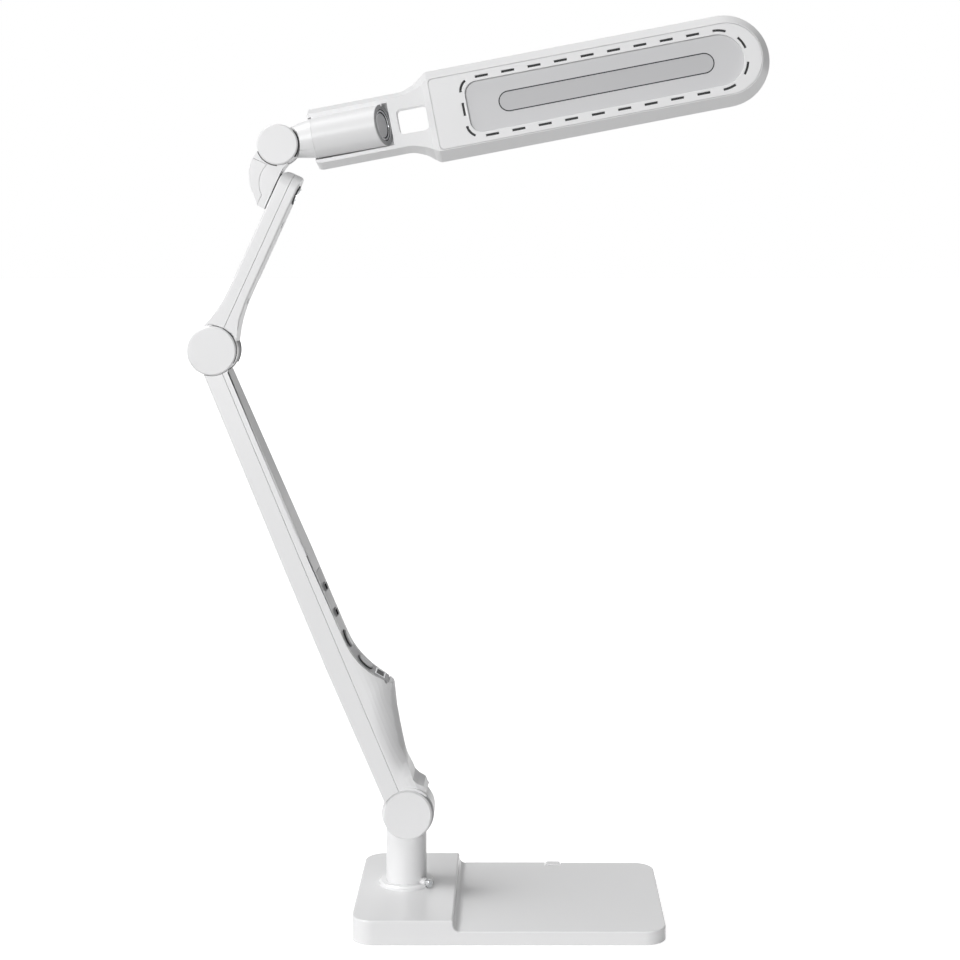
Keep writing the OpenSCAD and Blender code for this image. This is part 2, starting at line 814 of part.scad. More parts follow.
module shoulder_caps() {
    color(white) lower_frame()
        joint_caps(shoulder_cap_r, shoulder_in, shoulder_half, core_half_x + 1.7);
}

module shoulder_bolt() {
    color(steel) lower_frame() joint_bolt(shoulder_in + shoulder_cheek_t);
}

module shoulder_nut() {
    color(steel) lower_frame() joint_nut(shoulder_in + shoulder_cheek_t);
}

module shoulder_washers() {
    color("ivory") lower_frame() joint_washers(9, shoulder_in);
}

module elbow_caps() {
    color(white) elbow_frame() mirror([0, 0, 1])
        joint_caps(elbow_cap_r, elbow_in, elbow_half, core_half_x + 1.7);
}

module elbow_bolt() {
    color(steel) elbow_frame() joint_bolt(elbow_in + elbow_cheek_t);
}

module elbow_nut() {
    color(steel) elbow_frame() joint_nut(elbow_in + elbow_cheek_t);
}

module elbow_washers() {
    color("ivory") elbow_frame() joint_washers(9, elbow_in);
}

// ---------------------------------------------------------------- upper arm

// Side outline in the swivel frame, moved in by inset
module upper_side(inset) {
    w = upper_half - inset;
    flare = upper_flare - inset;
    z0 = -upper_l;
    bend = [for (t = [0:0.2:1]) [w + (flare - w) * pow(1 - t, 2.2),
        z0 + elbow_cap_r - 4 + (upper_flare_z - elbow_cap_r + 4) * t]];
    big = 5.4;
    small = 2;
    top = upper_end - inset;
    polygon(concat(
        [[flare, z0]], bend, [for (a = [0:15:90]) [w - small + small * cos(a), top - small + small * sin(a)]],
        [for (a = [90:15:180]) [-w + big + big * cos(a), top - big + big * sin(a)]],
        [for (i = [len(bend) - 1:-1:0]) [-bend[i][0], bend[i][1]]], [[-flare, z0]]));
}

module upper_plan(inset) {
    r = upper_breadth - inset;
    translate([-r, -upper_l]) square([2 * r, upper_l + upper_end - upper_breadth]);
    translate([0, upper_end - upper_breadth]) circle(r = r);
}

module upper_solid(inset) {
    intersection() {
        side_slab(30) upper_side(inset);
        plan_slab(-40, 40) upper_plan(inset);
    }
}

module upper_shell_cuts() {
    translate([0, 0, -upper_l]) disc_y(upper_swing_r, -50, 50);
    rod_x(bolt_r + 0.6, -50, 50);
    rod_x(recess_r, lug_right - 0.2, 50);
    for (z = upper_screw_z) translate([0, 0, z]) rod_x(screw_r + run_gap, -upper_half + 1.2, 50);
    for (z = upper_screw_z) translate([0, 0, z]) rod_x(screw_head_r + 0.1, upper_half - 2.2, 50);
    upper_core_solid(0.15);
}

upper_screw_z = [-22, -78];

module upper_arm_left_shell() {
    color(white) swivel_frame() difference() {
        upper_solid(0);
        difference() {
            upper_solid(arm_wall);
            for (z = upper_screw_z) translate([0, 0, z]) rod_x(3.4, -40, 40);
        }
        translate([upper_seam_x, -50, -200]) cube([100, 100, 300]);
        upper_shell_cuts();
    }
}

module upper_arm_right_shell() {
    color(white) swivel_frame() difference() {
        upper_solid(0);
        difference() {
            upper_solid(arm_wall);
            for (z = upper_screw_z) translate([0, 0, z]) rod_x(3.4, -40, 40);
        }
        translate([upper_seam_x - 100, -50, -200]) cube([100, 100, 300]);
        upper_shell_cuts();
    }
}

// Core without its bores: elbow tongue, bar and swivel lug
module upper_core_solid(grow) {
    translate([0, 0, -upper_l]) disc_y(elbow_cap_r - 0.5 + grow, -elbow_tongue_half - grow, elbow_tongue_half + grow);
    translate([-upper_core_x - grow, -elbow_tongue_half - grow, -upper_l])
        cube([2 * (upper_core_x + grow), 2 * (elbow_tongue_half + grow), upper_l - 7]);
    translate([-lug_left - grow, -lug_half - grow, -8 - grow])
        cube([lug_left + lug_right + 2 * grow, 2 * (lug_half + grow), 16 + 2 * grow]);
}

module upper_arm_core() {
    color(white) swivel_frame() difference() {
        upper_core_solid(0);
        translate([0, 0, -upper_l]) disc_y(bolt_r + run_gap, -50, 50);
        rod_x(bolt_r + run_gap, -50, 50);
        for (z = upper_screw_z) translate([0, 0, z]) rod_x(screw_r + run_gap, -50, 50);
    }
}

module upper_arm_screws() {
    color(steel) swivel_frame() for (z = upper_screw_z) translate([0, 0, z]) {
        rod_x(screw_head_r, upper_half - 2.2, upper_half - 2.2 + screw_head_h - 0.2);
        rod_x(screw_r, -upper_half + 1.4, upper_half - 2);
    }
}

// ---------------------------------------------------------------- knuckle

module swivel_bolt() {
    color(steel) swivel_frame() difference() {
        union() {
            rod_x(bolt_r, -knuckle_face - knuckle_wall - swivel_nut_h, lug_right + 0.6 + 3);
            rod_x(swivel_head_r, lug_right + 0.6, lug_right + 0.6 + 3);
        }
        hex_x(2, lug_right + 2, 50);
    }
}

module swivel_washer() {
    color("ivory") swivel_frame() difference() {
        rod_x(swivel_head_r, lug_right, lug_right + 0.6);
        rod_x(bolt_r + 0.2, -50, 50);
    }
}

module swivel_nut() {
    color(steel) swivel_frame() difference() {
        hex_x(bolt_r + 2.4, -knuckle_face - knuckle_wall - swivel_nut_h, -knuckle_face - knuckle_wall);
        rod_x(bolt_r + 0.02, -50, 50);
    }
}

module knuckle_side() {
    c = knuckle_round_c;
    r = knuckle_round_r;
    arc = [for (a = [168:6:234]) [c[0] + r * cos(a), c[1] + r * sin(a)]];
    low = [for (p = arc) if (p[1] > -knuckle_low + 3) p];
    polygon(concat([[-knuckle_face, -knuckle_low], [-knuckle_face, 12.5], [-knuckle_face + 0.8, 17.5],
        [wrist_local[0], wrist_local[2]]], low, [[-knuckle_face - 5.5, -knuckle_low]]));
    translate([wrist_local[0], wrist_local[2]]) circle(r = wrist_cap_r - 0.5);
}

module knuckle_cuts() {
    translate(wrist_local) disc_y(wrist_cap_r + 0.3, -wrist_in, wrist_in);
    translate(wrist_local) disc_y(bolt_r + run_gap, -50, 50);
}

// The cover is the outer layer of the knuckle, below the wrist fork
module cover_zone(grow) {
    difference() {
        translate([-60, -20, -40]) cube([60, 40, 40 + 11 + grow]);
        translate([knuckle_seam_c[0], 0, knuckle_seam_c[1]]) disc_y(knuckle_seam_r - grow, -50, 50);
        translate([-knuckle_foot_x + grow, -50, -60]) cube([60, 100, 60 - 9 - grow]);
    }
}

module knuckle_bracket() {
    color(white) swivel_frame() difference() {
        side_slab(wrist_cheek_half) knuckle_side();
        cover_zone(0.05);
        knuckle_cuts();
        rod_x(bolt_r + run_gap, -50, 50);
        rod_x(bolt_r + 2.8, -50, -knuckle_face - knuckle_wall);
    }
}

module knuckle_cover() {
    color(white) swivel_frame() difference() {
        intersection() {
            side_slab(wrist_cheek_half) knuckle_side();
            cover_zone(0);
        }
        knuckle_cuts();
        translate([0, 0, 0]) rod_x(bolt_r + 2.8, -knuckle_face - knuckle_wall - swivel_nut_h - 1, 0);
    }
}

module wrist_caps() {
    color(white) wrist_frame() both_sides() difference() {
        union() {
            disc_y(wrist_cap_r, wrist_cheek_half, wrist_half - 0.8);
            translate([0, wrist_half, 0]) rotate([90, 0, 0])
                cylinder(r1 = wrist_cap_r - 0.8, r2 = wrist_cap_r, h = 0.8);
        }
        disc_y(bolt_r + 3, 0, wrist_half - 0.9);
    }
}

module wrist_bolt() {
    color(steel) wrist_frame() {
        disc_y(bolt_r, -wrist_cheek_half - 1.2, wrist_cheek_half + 1.2);
        hex_y(bolt_r + 2.4, -wrist_cheek_half - 1.2, -wrist_cheek_half);
    }
}

module wrist_nut() {
    color(steel) wrist_frame() difference() {
        hex_y(bolt_r + 2.4, wrist_cheek_half, wrist_cheek_half + 1.2);
        disc_y(bolt_r + 0.02, -50, 50);
    }
}

module wrist_washers() {
    color("ivory") wrist_frame() joint_washers(8, wrist_in);
}

// ---------------------------------------------------------------- neck

module neck() {
    color(white) head_frame() difference() {
        union() {
            disc_y(wrist_cap_r - 0.5, -wrist_tongue_half, wrist_tongue_half);
            translate([0, -wrist_tongue_half, -neck_r + 1])
                cube([20, 2 * wrist_tongue_half, 2 * neck_r - 2]);
            difference() {
                rod_x(neck_r, 0, 23.6);
                both_sides() disc_y(wrist_cap_r + swing_gap, wrist_tongue_half, 40);
                translate([-20, -40, -40]) cube([20, 80, 80]);
            }
            rod_x(spigot_r, 20, spigot_end);
        }
        disc_y(bolt_r + run_gap, -50, 50);
        rod_x(4, 18, spigot_end + 1);
    }
}

module roll_washer() {
    color("ivory") head_frame() difference() {
        rod_x(roll_nut_r, spigot_end - roll_nut_h - 0.8, spigot_end - roll_nut_h);
        rod_x(spigot_r + 0.2, 0, 90);
    }
}

module roll_nut() {
    color(steel) head_frame() difference() {
        rod_x(roll_nut_r, spigot_end - roll_nut_h, spigot_end);
        rod_x(spigot_r + 0.02, 0, 90);
    }
}

// ---------------------------------------------------------------- head

// Frame on the slanted mouth of the barrel: x stands out of it
module mouth_frame() {
    translate([barrel_x1 - 1.5, 0, 0]) rotate([0, 0, -barrel_slant]) children();
}

module barrel() {
    washer_x = spigot_end - roll_nut_h - 0.8;
    color(white) head_frame() difference() {
        translate([barrel_x, 0, 0]) rotate([0, 90, 0])
            cylinder(r1 = barrel_r0, r2 = barrel_r, h = tray_wall_x - barrel_x - seat_gap);
        rod_x(spigot_r + run_gap, 0, 90);
        rod_x(roll_nut_r + 0.4, washer_x, spigot_end + 4);
        mouth_frame() translate([0, -50, -50]) cube([50, 100, 100]);
        mouth_frame() rod_x(mouth_r, -mouth_depth, 10);
        rod_x(roll_nut_r + 0.4, washer_x, barrel_x1 - 6);
        for (p = head_screw_places) translate([p[0], 0, p[1]]) disc_y(screw_r + run_gap, 0, 40);
    }
}

module barrel_ring() {
    color(steel) head_frame() mouth_frame() difference() {
        rod_x(mouth_r - 0.15, -mouth_depth, -mouth_depth + 3.4);
        rod_x(mouth_r - 2.4, -20, 20);
    }
}

module barrel_cap() {
    color([0.75, 0.75, 0.76]) head_frame() mouth_frame()
        rod_x(mouth_r - 2.45, -mouth_depth, -mouth_depth + 2.2);
}

// Cross section of the head's back, half widths at the back and at the front
module head_section(back_half, front_half, front_y) {
    polygon([[-back_half, head_back - 2], [-back_half + 2, head_back], [back_half - 2, head_back],
        [back_half, head_back - 2], [front_half, front_y], [-front_half, front_y]]);
}

// The (z, y) section drawn as a slab between two x values
module section_slab(x0, x1, back_half, front_half, front_y) {
    translate([x0, 0, 0]) rotate([90, 0, 90]) linear_extrude(height = x1 - x0) rotate([0, 0, 90])
        mirror([0, 1]) head_section(back_half, front_half, front_y);
}

module back_solid() {
    mid_half = (tray_half + head_half) / 2 - 1.8;
    union() {
        section_slab(tray_x, window_x0 + 3, tray_half, tray_rim_half, rim_y);
        hull() {
            section_slab(window_x0 + 3, window_x0 + 3 + eps, tray_half, tray_rim_half, rim_y);
            section_slab(window_x0 + 14, window_x0 + 14 + eps, mid_half, mid_half - 5, rim_y);
        }
        hull() {
            section_slab(window_x0 + 14, window_x0 + 14 + eps, mid_half, mid_half - 5, rim_y);
            section_slab(window_x1, window_x1 + eps, head_half - 2.4, face_half - 2, rim_y);
        }
        hull() {
            section_slab(window_x1, window_x1 + eps, head_half - 2.4, face_half - 2, rim_y);
            section_slab(shoulder0_x, shoulder0_x + eps, head_half, face_half + 0.6, face_y);
        }
        section_slab(shoulder0_x, end_x, head_half, face_half + 0.6, face_y);
        translate([end_x, head_back - 2, 0]) rotate([90, 0, 0])
            cylinder(r1 = head_half, r2 = face_half + 0.6, h = head_back - 2 - face_y);
        translate([end_x, head_back, 0]) rotate([90, 0, 0]) cylinder(r1 = head_half - 2, r2 = head_half, h = 2);
    }
}

module head_back_shell() {
    color(white) head_frame() difference() {
        back_solid();
        // trough for the barrel
        rod_x(barrel_r + seat_gap, tray_x - 1, tray_wall_x);
        translate([tray_x - 1, -40, -barrel_r - seat_gap])
            cube([tray_wall_x - tray_x + 1, 40, 2 * (barrel_r + seat_gap)]);
        // hand window
        side_slab(60) round_rect(window_x0, window_x1, -window_w / 2, window_w / 2, 3);
        // room for the light parts
        translate([0, head_back - floor_t, 0]) rotate([90, 0, 0]) linear_extrude(height = 40)
            light_outline(face_x0 + 4, end_x, face_half - head_wall, 3);
        // seat of the face frame
        translate([0, face_y + face_t + 0.1, 0]) rotate([90, 0, 0]) linear_extrude(height = 20)
            light_outline(face_x0 + 2, end_x, face_half + 0.1, 3);
        for (p = head_screw_places) translate([p[0], 0, p[1]]) {
            disc_y(screw_r + run_gap, 0, 40);
            disc_y(screw_head_r + 0.2, head_back - 1.9, 40);
        }
    }
}

head_screw_places = [[34, 0], [66, 0], [118, 0], [210, 0], [300, 0]];

module head_screws() {
    color(steel) head_frame() for (i = [0:len(head_screw_places) - 1])
        translate([head_screw_places[i][0], 0, head_screw_places[i][1]]) {
            disc_y(screw_head_r, head_back - 1.9, head_back - 0.4);
            disc_y(screw_r, i < 2 ? barrel_r - 2 : 9.4, head_back - 1);
        }
}

// Place and direction of slot i on its rounded path
slot_straight = slot_end - slot_x0 - slot_corner_r;
slot_round = PI * slot_half;
slot_corner = PI * slot_corner_r / 2;
slot_left = 2 * (slot_half - slot_corner_r);
slot_path = 2 * slot_straight + slot_round + 2 * slot_corner + slot_left;
slot_pitch = slot_path / slot_count;
// The slots are spaced from one that stands in the middle of the left side
slot_offset = slot_path - slot_corner - slot_left / 2;
slot_start = slot_offset - floor(slot_offset / slot_pitch) * slot_pitch;

function on_path(d) = let (
        a = slot_straight, b = a + slot_round, c = b + slot_straight,
        e = c + slot_corner, f = e + slot_left)
    d < a ? [slot_x0 + slot_corner_r + d, slot_half, 0]
    : d < b ? let (t = (d - a) / slot_half * 180 / PI)
        [slot_end + slot_half * sin(t), slot_half * cos(t), -t]
    : d < c ? [slot_end - (d - b), -slot_half, 180]
    : d < e ? let (t = (d - c) / slot_corner_r * 180 / PI)
        [slot_x0 + slot_corner_r - slot_corner_r * sin(t), -slot_half + slot_corner_r - slot_corner_r * cos(t), 180 - t]
    : d < f ? [slot_x0, -slot_half + slot_corner_r + (d - e), 90]
    : let (t = (d - f) / slot_corner_r * 180 / PI)
        [slot_x0 + slot_corner_r - slot_corner_r * cos(t), slot_half - slot_corner_r + slot_corner_r * sin(t), 90 - t];

module face_frame() {
    color(white) head_frame() difference() {
        translate([0, face_y + face_t, 0]) rotate([90, 0, 0]) linear_extrude(height = face_t)
            light_outline(face_x0 + 2.2, end_x, face_half - 0.1, 3);
        translate([0, 20, 0]) rotate([90, 0, 0]) linear_extrude(height = 40)
            light_outline(diffuser_x0, diffuser_end, diffuser_half, 7);
        for (i = [0:slot_count - 1]) let (p = on_path(slot_start + i * slot_pitch))
            translate([p[0], 0, p[1]]) rotate([0, -p[2], 0])
                cube([slot_l, 20, slot_w], center = true);
    }
}

module diffuser() {
    color([0.78, 0.78, 0.79]) head_frame() difference() {
        translate([0, diffuser_y + diffuser_t, 0]) rotate([90, 0, 0]) linear_extrude(height = diffuser_t)
            light_outline(diffuser_x0 - 1.2, diffuser_end, diffuser_half + 1.2, 8);
        translate([0, 20, 0]) rotate([90, 0, 0]) linear_extrude(height = 40)
            stadium(lens_x0, lens_x1, lens_half);
    }
}

module centre_lens() {
    color([0.7, 0.7, 0.71]) head_frame()
        translate([0, diffuser_y + diffuser_t, 0]) rotate([90, 0, 0]) linear_extrude(height = diffuser_t)
            stadium(lens_x0 + lens_gap, lens_x1 - lens_gap, lens_half - lens_gap);
}

module plate_in_head(y0, y1, grow) {
    translate([0, y1, 0]) rotate([90, 0, 0]) linear_extrude(height = y1 - y0)
        light_outline(face_x0 + 5 - grow, end_x - 1, face_half - head_wall - 0.4 + grow, 2.6);
}

guide_y = diffuser_y + diffuser_t;
guide_t = 3;
led_size = 3;
led_count = 12;
led_pitch = (end_x - diffuser_x0 - 16) / (led_count - 1);

module light_guide() {
    color([0.85, 0.9, 0.92]) head_frame() plate_in_head(guide_y, guide_y + guide_t, 0);
}

module reflector() {
    color("white") head_frame() difference() {
        plate_in_head(guide_y + guide_t, guide_y + guide_t + 4, 0);
        translate([0, guide_y + guide_t + 4 - 0.6, 0]) rotate([90, 0, 0]) linear_extrude(height = 40)
            light_outline(diffuser_x0 - 8, end_x - 4, face_half - head_wall - 2.4, 2.6);
        light_chips(led_size + 0.4);
    }
}

// Light chips in two rows, standing through the reflector
module light_chips(size) {
    board_y = guide_y + guide_t + 4;
    for (i = [0:led_count - 1], z = [-11, 11]) translate([diffuser_x0 + 8 + i * led_pitch - size / 2,
        board_y - 0.9, z - size / 2]) cube([size, 1, size]);
}

module led_board() {
    board_y = guide_y + guide_t + 4;
    boss_x = [118, 210, 300];
    color("khaki") head_frame() difference() {
        union() {
            plate_in_head(board_y, board_y + board_t, 0);
            for (x = boss_x) translate([x, 0, 0]) disc_y(3.2, board_y + board_t - eps, head_back - floor_t);
            light_chips(led_size);
        }
        for (x = boss_x) translate([x, 0, 0]) disc_y(screw_r + run_gap, 0, 40);
    }
}

base_shell();
base_weight();
base_pad();
base_screws();
power_inlet();
post_socket();
socket_screws();
lock_screw();
post();
post_washer();
lower_arm_core();
lower_arm_rear_shell();
lower_arm_front_shell();
lower_arm_screws();
control_panel();
button_up();
button_down();
button_colour();
button_power();
button_rings();
indicator_window();
window_bezel();
control_board();
shoulder_caps();
shoulder_bolt();
shoulder_nut();
shoulder_washers();
elbow_caps();
elbow_bolt();
elbow_nut();
elbow_washers();
upper_arm_core();
upper_arm_left_shell();
upper_arm_right_shell();
upper_arm_screws();
swivel_bolt();
swivel_washer();
knuckle_bracket();
knuckle_cover();
swivel_nut();
wrist_caps();
wrist_bolt();
wrist_nut();
wrist_washers();
neck();
roll_washer();
roll_nut();
barrel();
barrel_cap();
barrel_ring();
head_back_shell();
face_frame();
diffuser();
centre_lens();
light_guide();
reflector();
led_board();
head_screws();
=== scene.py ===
"""Folding desk lamp: the visible skins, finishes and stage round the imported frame.

Shapes are drawn in millimetres in local frames that follow the joints: LOWER along the lower
arm, UPPER along the upper arm from the swivel, HEAD along the head's barrel and MOUTH in its
slanted mouth. So a piece is drawn straight and then put in place, in metres.
"""

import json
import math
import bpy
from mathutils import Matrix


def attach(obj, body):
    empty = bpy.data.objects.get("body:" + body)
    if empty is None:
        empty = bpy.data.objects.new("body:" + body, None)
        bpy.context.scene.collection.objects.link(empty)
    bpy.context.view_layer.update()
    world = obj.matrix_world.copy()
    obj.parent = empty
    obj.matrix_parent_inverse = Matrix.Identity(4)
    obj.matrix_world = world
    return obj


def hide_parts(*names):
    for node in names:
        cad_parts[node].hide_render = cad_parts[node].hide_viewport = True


bl_info = {
    "name": "Folding Desk Lamp",
    "version": (1, 0, 0),
    "blender": (4, 5, 0),
    "location": "3D View > Sidebar > Desk Lamp",
    "description": "Builds the skins, finishes and stage of a folding desk lamp",
    "category": "Object",
}

import bmesh
import bpy
from mathutils import Matrix, Vector

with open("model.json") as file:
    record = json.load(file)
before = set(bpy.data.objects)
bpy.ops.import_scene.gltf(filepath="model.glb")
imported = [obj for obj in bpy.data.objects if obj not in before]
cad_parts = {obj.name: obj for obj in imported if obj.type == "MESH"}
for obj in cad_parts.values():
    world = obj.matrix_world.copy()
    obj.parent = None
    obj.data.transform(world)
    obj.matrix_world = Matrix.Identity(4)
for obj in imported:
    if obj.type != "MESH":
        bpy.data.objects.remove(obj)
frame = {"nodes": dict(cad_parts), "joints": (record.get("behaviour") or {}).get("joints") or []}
NODES = frame["nodes"]
JOINTS = {j["name"]: j for j in frame["joints"]}
MM = 0.001
WELD = 2e-6                 # points of a drawn mesh closer than this, in metres, become one
CAD_WELD = 4e-6             # the same for a copy of a CAD node, whose triangles are loose
FLAT = math.radians(0.6)    # faces that meet at a smaller angle become one
SHARP = math.radians(25)    # an edge turns at least this much to be rounded by a test
CUT_SNAP = 1e-4             # a slice this close to a point, in millimetres, goes through it
TRIM_EDGE = 0.06            # rounding of rings and seals, in millimetres
DEPTH = Vector((0, 1, 0))   # away from the lit face, in every local frame


# ------------------------------------------------------------------ places

def joint_place(name):
    """Where a joint's axis passes, in metres."""
    return Vector(JOINTS[name]["pos_m"])


def local_frame(origin, along):
    """Matrix whose z runs along the given direction, with y pointing away from the lit face."""
    z = along.normalized()
    x = DEPTH.cross(z).normalized()
    matrix = Matrix((x, DEPTH, z)).transposed().to_4x4()
    matrix.translation = origin
    return matrix


SHOULDER = joint_place("shoulder_fold")
ELBOW = joint_place("elbow_fold")
SWIVEL = joint_place("knuckle_swivel")
WRIST = joint_place("wrist_tilt")
LOWER = local_frame(SHOULDER, ELBOW - SHOULDER)
UPPER = local_frame(SWIVEL, SWIVEL - ELBOW)
HEAD_LINE = Vector(JOINTS["head_roll"]["axis"]).normalized()
HEAD = Matrix((HEAD_LINE, DEPTH, HEAD_LINE.cross(DEPTH))).transposed().to_4x4()
HEAD.translation = WRIST
MOUTH_PLACE = 0.0715        # middle of the barrel's slanted mouth, along the barrel
MOUTH_SLANT = math.radians(-20)
MOUTH = HEAD @ Matrix.Translation((MOUTH_PLACE, 0, 0)) @ Matrix.Rotation(MOUTH_SLANT, 4, "Z")


# ------------------------------------------------------------------ meshes

def new_piece(name, mesh):
    piece = bpy.data.objects.new(name, mesh)
    bpy.context.scene.collection.objects.link(piece)
    return piece


def shaded(shape, mesh, smooth=True):
    """Ends an edit: the faces take their shading and the points go into the mesh."""
    for face in shape.faces:
        face.smooth = smooth
    shape.to_mesh(mesh)
    shape.free()
    return mesh


def evaluated_mesh(thing):
    """Plain mesh of what the modifiers or the curve settings make of an object."""
    return bpy.data.meshes.new_from_object(
        thing.evaluated_get(bpy.context.evaluated_depsgraph_get()))


def mesh_from(name, points, faces, matrix=None, smooth=True):
    """Mesh from lists, in millimetres, put in place by the matrix, with its normals outwards."""
    mesh = bpy.data.meshes.new(name)
    mesh.from_pydata([Vector(p) * MM for p in points], [], faces)
    shape = bmesh.new()
    shape.from_mesh(mesh)
    bmesh.ops.remove_doubles(shape, verts=shape.verts, dist=WELD)
    bmesh.ops.recalc_face_normals(shape, faces=shape.faces)
    shaded(shape, mesh, smooth)
    if matrix is not None:
        mesh.transform(matrix)
    return mesh


def sliced(shape, axis, start, end, count):
    """Cuts a shape across an axis at evenly spaced places."""
    across = Vector([float(k == axis) for k in range(3)])
    for i in range(count + 1):
        bmesh.ops.bisect_plane(shape, geom=shape.verts[:] + shape.edges[:] + shape.faces[:],
                               plane_co=across * (start + (end - start) * i / count),
                               plane_no=across, dist=CUT_SNAP)


def rounded(shape, radius, wanted):
    """Rounds the sharp edges whose two ends pass a test."""
    chosen = [e for e in shape.edges if len(e.link_faces) == 2
              and e.calc_face_angle(0) > SHARP and wanted(e.verts[0].co, e.verts[1].co)]
    bmesh.ops.bevel(shape, geom=chosen, offset=radius, offset_type="OFFSET", segments=5,
                    profile=0.5, affect="EDGES", clamp_overlap=False, miter_outer="ARC")


def softened(name, node, width, segments=3, angle=32, local=Matrix.Identity(4), reshape=None,
             slices=(), rounds=()):
    """Copy of a CAD node with its edges rounded by width, in millimetres.

    In the local frame, slices adds cuts across an axis, reshape moves points, and rounds lists
    wider roundings as a width and a test of an edge's two ends.
    """
    shape = bmesh.new()
    shape.from_mesh(NODES[node].data)
    bmesh.ops.remove_doubles(shape, verts=shape.verts, dist=CAD_WELD)
    bmesh.ops.dissolve_limit(shape, angle_limit=FLAT, verts=shape.verts, edges=shape.edges)
    shape.transform(Matrix.Scale(1 / MM, 4) @ local.inverted())
    for cut in slices:
        sliced(shape, *cut)
    if reshape:
        for point in shape.verts:
            point.co = reshape(point.co)
    for radius, wanted in rounds:
        rounded(shape, radius, wanted)
    shape.transform(local @ Matrix.Scale(MM, 4))
    piece = new_piece(name, shaded(shape, bpy.data.meshes.new(name)))
    round_edges(piece, width, segments, angle)
    return piece


def revolved(name, profile, axis, matrix, start=0, end=360, steps=64):
    """Ring, whole or in part, in millimetres.

    The profile is a closed outline of places along the axis and radii round it.
    """
    whole = end - start == 360
    count = steps if whole else steps + 1
    points, faces, around = [], [], len(profile)
    for i in range(count):
        turn = math.radians(start + (end - start) * i / steps)
        for place, radius in profile:
            across = [radius * math.cos(turn), radius * math.sin(turn)]
            across.insert(axis, place)
            points.append(across)
    for i in range(steps):
        a, b = i * around, (i + 1) % count * around
        for k in range(around):
            faces.append((a + k, a + (k + 1) % around, b + (k + 1) % around, b + k))
    if not whole:
        faces += [tuple(range(around)), tuple(range((count - 1) * around, count * around))]
    piece = new_piece(name, mesh_from(name, points, faces, matrix))
    round_edges(piece, TRIM_EDGE, 2)
    return piece


def block(name, across, deep, up, edge, matrix):
    """Box with rounded edges between two places on each axis, in millimetres."""
    corners = [(x, y, z) for x in across for y in deep for z in up]
    sides = [(0, 1, 3, 2), (4, 6, 7, 5), (0, 4, 5, 1), (2, 3, 7, 6), (0, 2, 6, 4), (1, 5, 7, 3)]
    piece = new_piece(name, mesh_from(name, corners, sides, matrix))
    round_edges(piece, edge)
    return piece


def band(low, high, inner, outer):
    """Profile of a plain ring between two places and two radii."""
    return [(low, inner), (high, inner), (high, outer), (low, outer)]


def joined(name, pieces):
    """One piece from several, for a pair or a set that rides on one body."""
    shape = bmesh.new()
    for piece in pieces:
        shape.from_mesh(piece.data)
        bpy.data.objects.remove(piece)
    piece = new_piece(name, shaded(shape, bpy.data.meshes.new(name)))
    round_edges(piece, TRIM_EDGE, 2)
    return piece


def flat_piece(name, outlines, front, back, edge, matrix):
    """Plate from closed outlines, the first round the others, between two local depths."""
    curve = bpy.data.curves.new(name, "CURVE")
    curve.dimensions = "2D"
    curve.fill_mode = "BOTH"
    curve.extrude = (back - front) / 2 * MM - edge * MM
    curve.bevel_depth = edge * MM
    curve.bevel_resolution = 2
    curve.offset = -edge * MM
    for outline in outlines:
        line = curve.splines.new("POLY")
        line.points.add(len(outline) - 1)
        for point, (x, z) in zip(line.points, outline):
            point.co = (x * MM, z * MM, 0, 1)
        line.use_cyclic_u = True
    holder = new_piece(name, curve)
    mesh = evaluated_mesh(holder)
    bpy.data.objects.remove(holder)
    bpy.data.curves.remove(curve)
    shape = bmesh.new()
    shape.from_mesh(mesh)
    bmesh.ops.remove_doubles(shape, verts=shape.verts, dist=WELD)
    middle = (front + back) / 2 * MM
    upright = Matrix(((1, 0, 0, 0), (0, 0, 1, middle), (0, 1, 0, 0), (0, 0, 0, 1)))
    shape.transform(matrix @ upright)
    bmesh.ops.recalc_face_normals(shape, faces=shape.faces)
    mesh.name = name
    piece = new_piece(name, shaded(shape, mesh))
    weigh_normals(piece)
    return piece


def round_edges(piece, width, segments=3, angle=32):
    bevel = piece.modifiers.new("edge", "BEVEL")
    bevel.width = width * MM
    bevel.segments = segments
    bevel.limit_method = "ANGLE"
    bevel.angle_limit = math.radians(angle)
    bevel.miter_outer = "MITER_ARC"
    bevel.harden_normals = False
    weigh_normals(piece)


def weigh_normals(piece):
    weigh = piece.modifiers.new("normals", "WEIGHTED_NORMAL")
    weigh.keep_sharp = False
    weigh.weight = 60


def seat(piece, body, slot, look, node=None):
    """Gives the piece its finish, its body and any CAD node that it stands for."""
    piece.data.materials.clear()
    piece.data.materials.append(finishes()[look])
    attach(piece, body)
    if node:
        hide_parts(node)


# ------------------------------------------------------------------ outlines

SLOTS = 25                 # slots in the dashed line round the diffuser
SLOT_STEPS = 60            # fine steps of the slots' path for each slot
ROUND_END = 300.5          # centre of the light's round right end, along the head


def arc(cx, cz, radius, start, end, steps):
    turns = [math.radians(start + (end - start) * i / steps) for i in range(steps + 1)]
    return [(cx + radius * math.cos(turn), cz + radius * math.sin(turn)) for turn in turns]


def light_outline(x0, end, half, corner):
    """Small corners at the start and a full round end, as on each plate of the light."""
    return (arc(x0 + corner, half - corner, corner, 180, 90, 10) + arc(end, 0, half, 90, -90, 48)
            + arc(x0 + corner, corner - half, corner, 270, 180, 10))


def stadium(x0, x1, half):
    """Outline with two full round ends."""
    return arc(x1 - half, 0, half, 90, -90, 24) + arc(x0 + half, 0, half, 270, 90, 24)


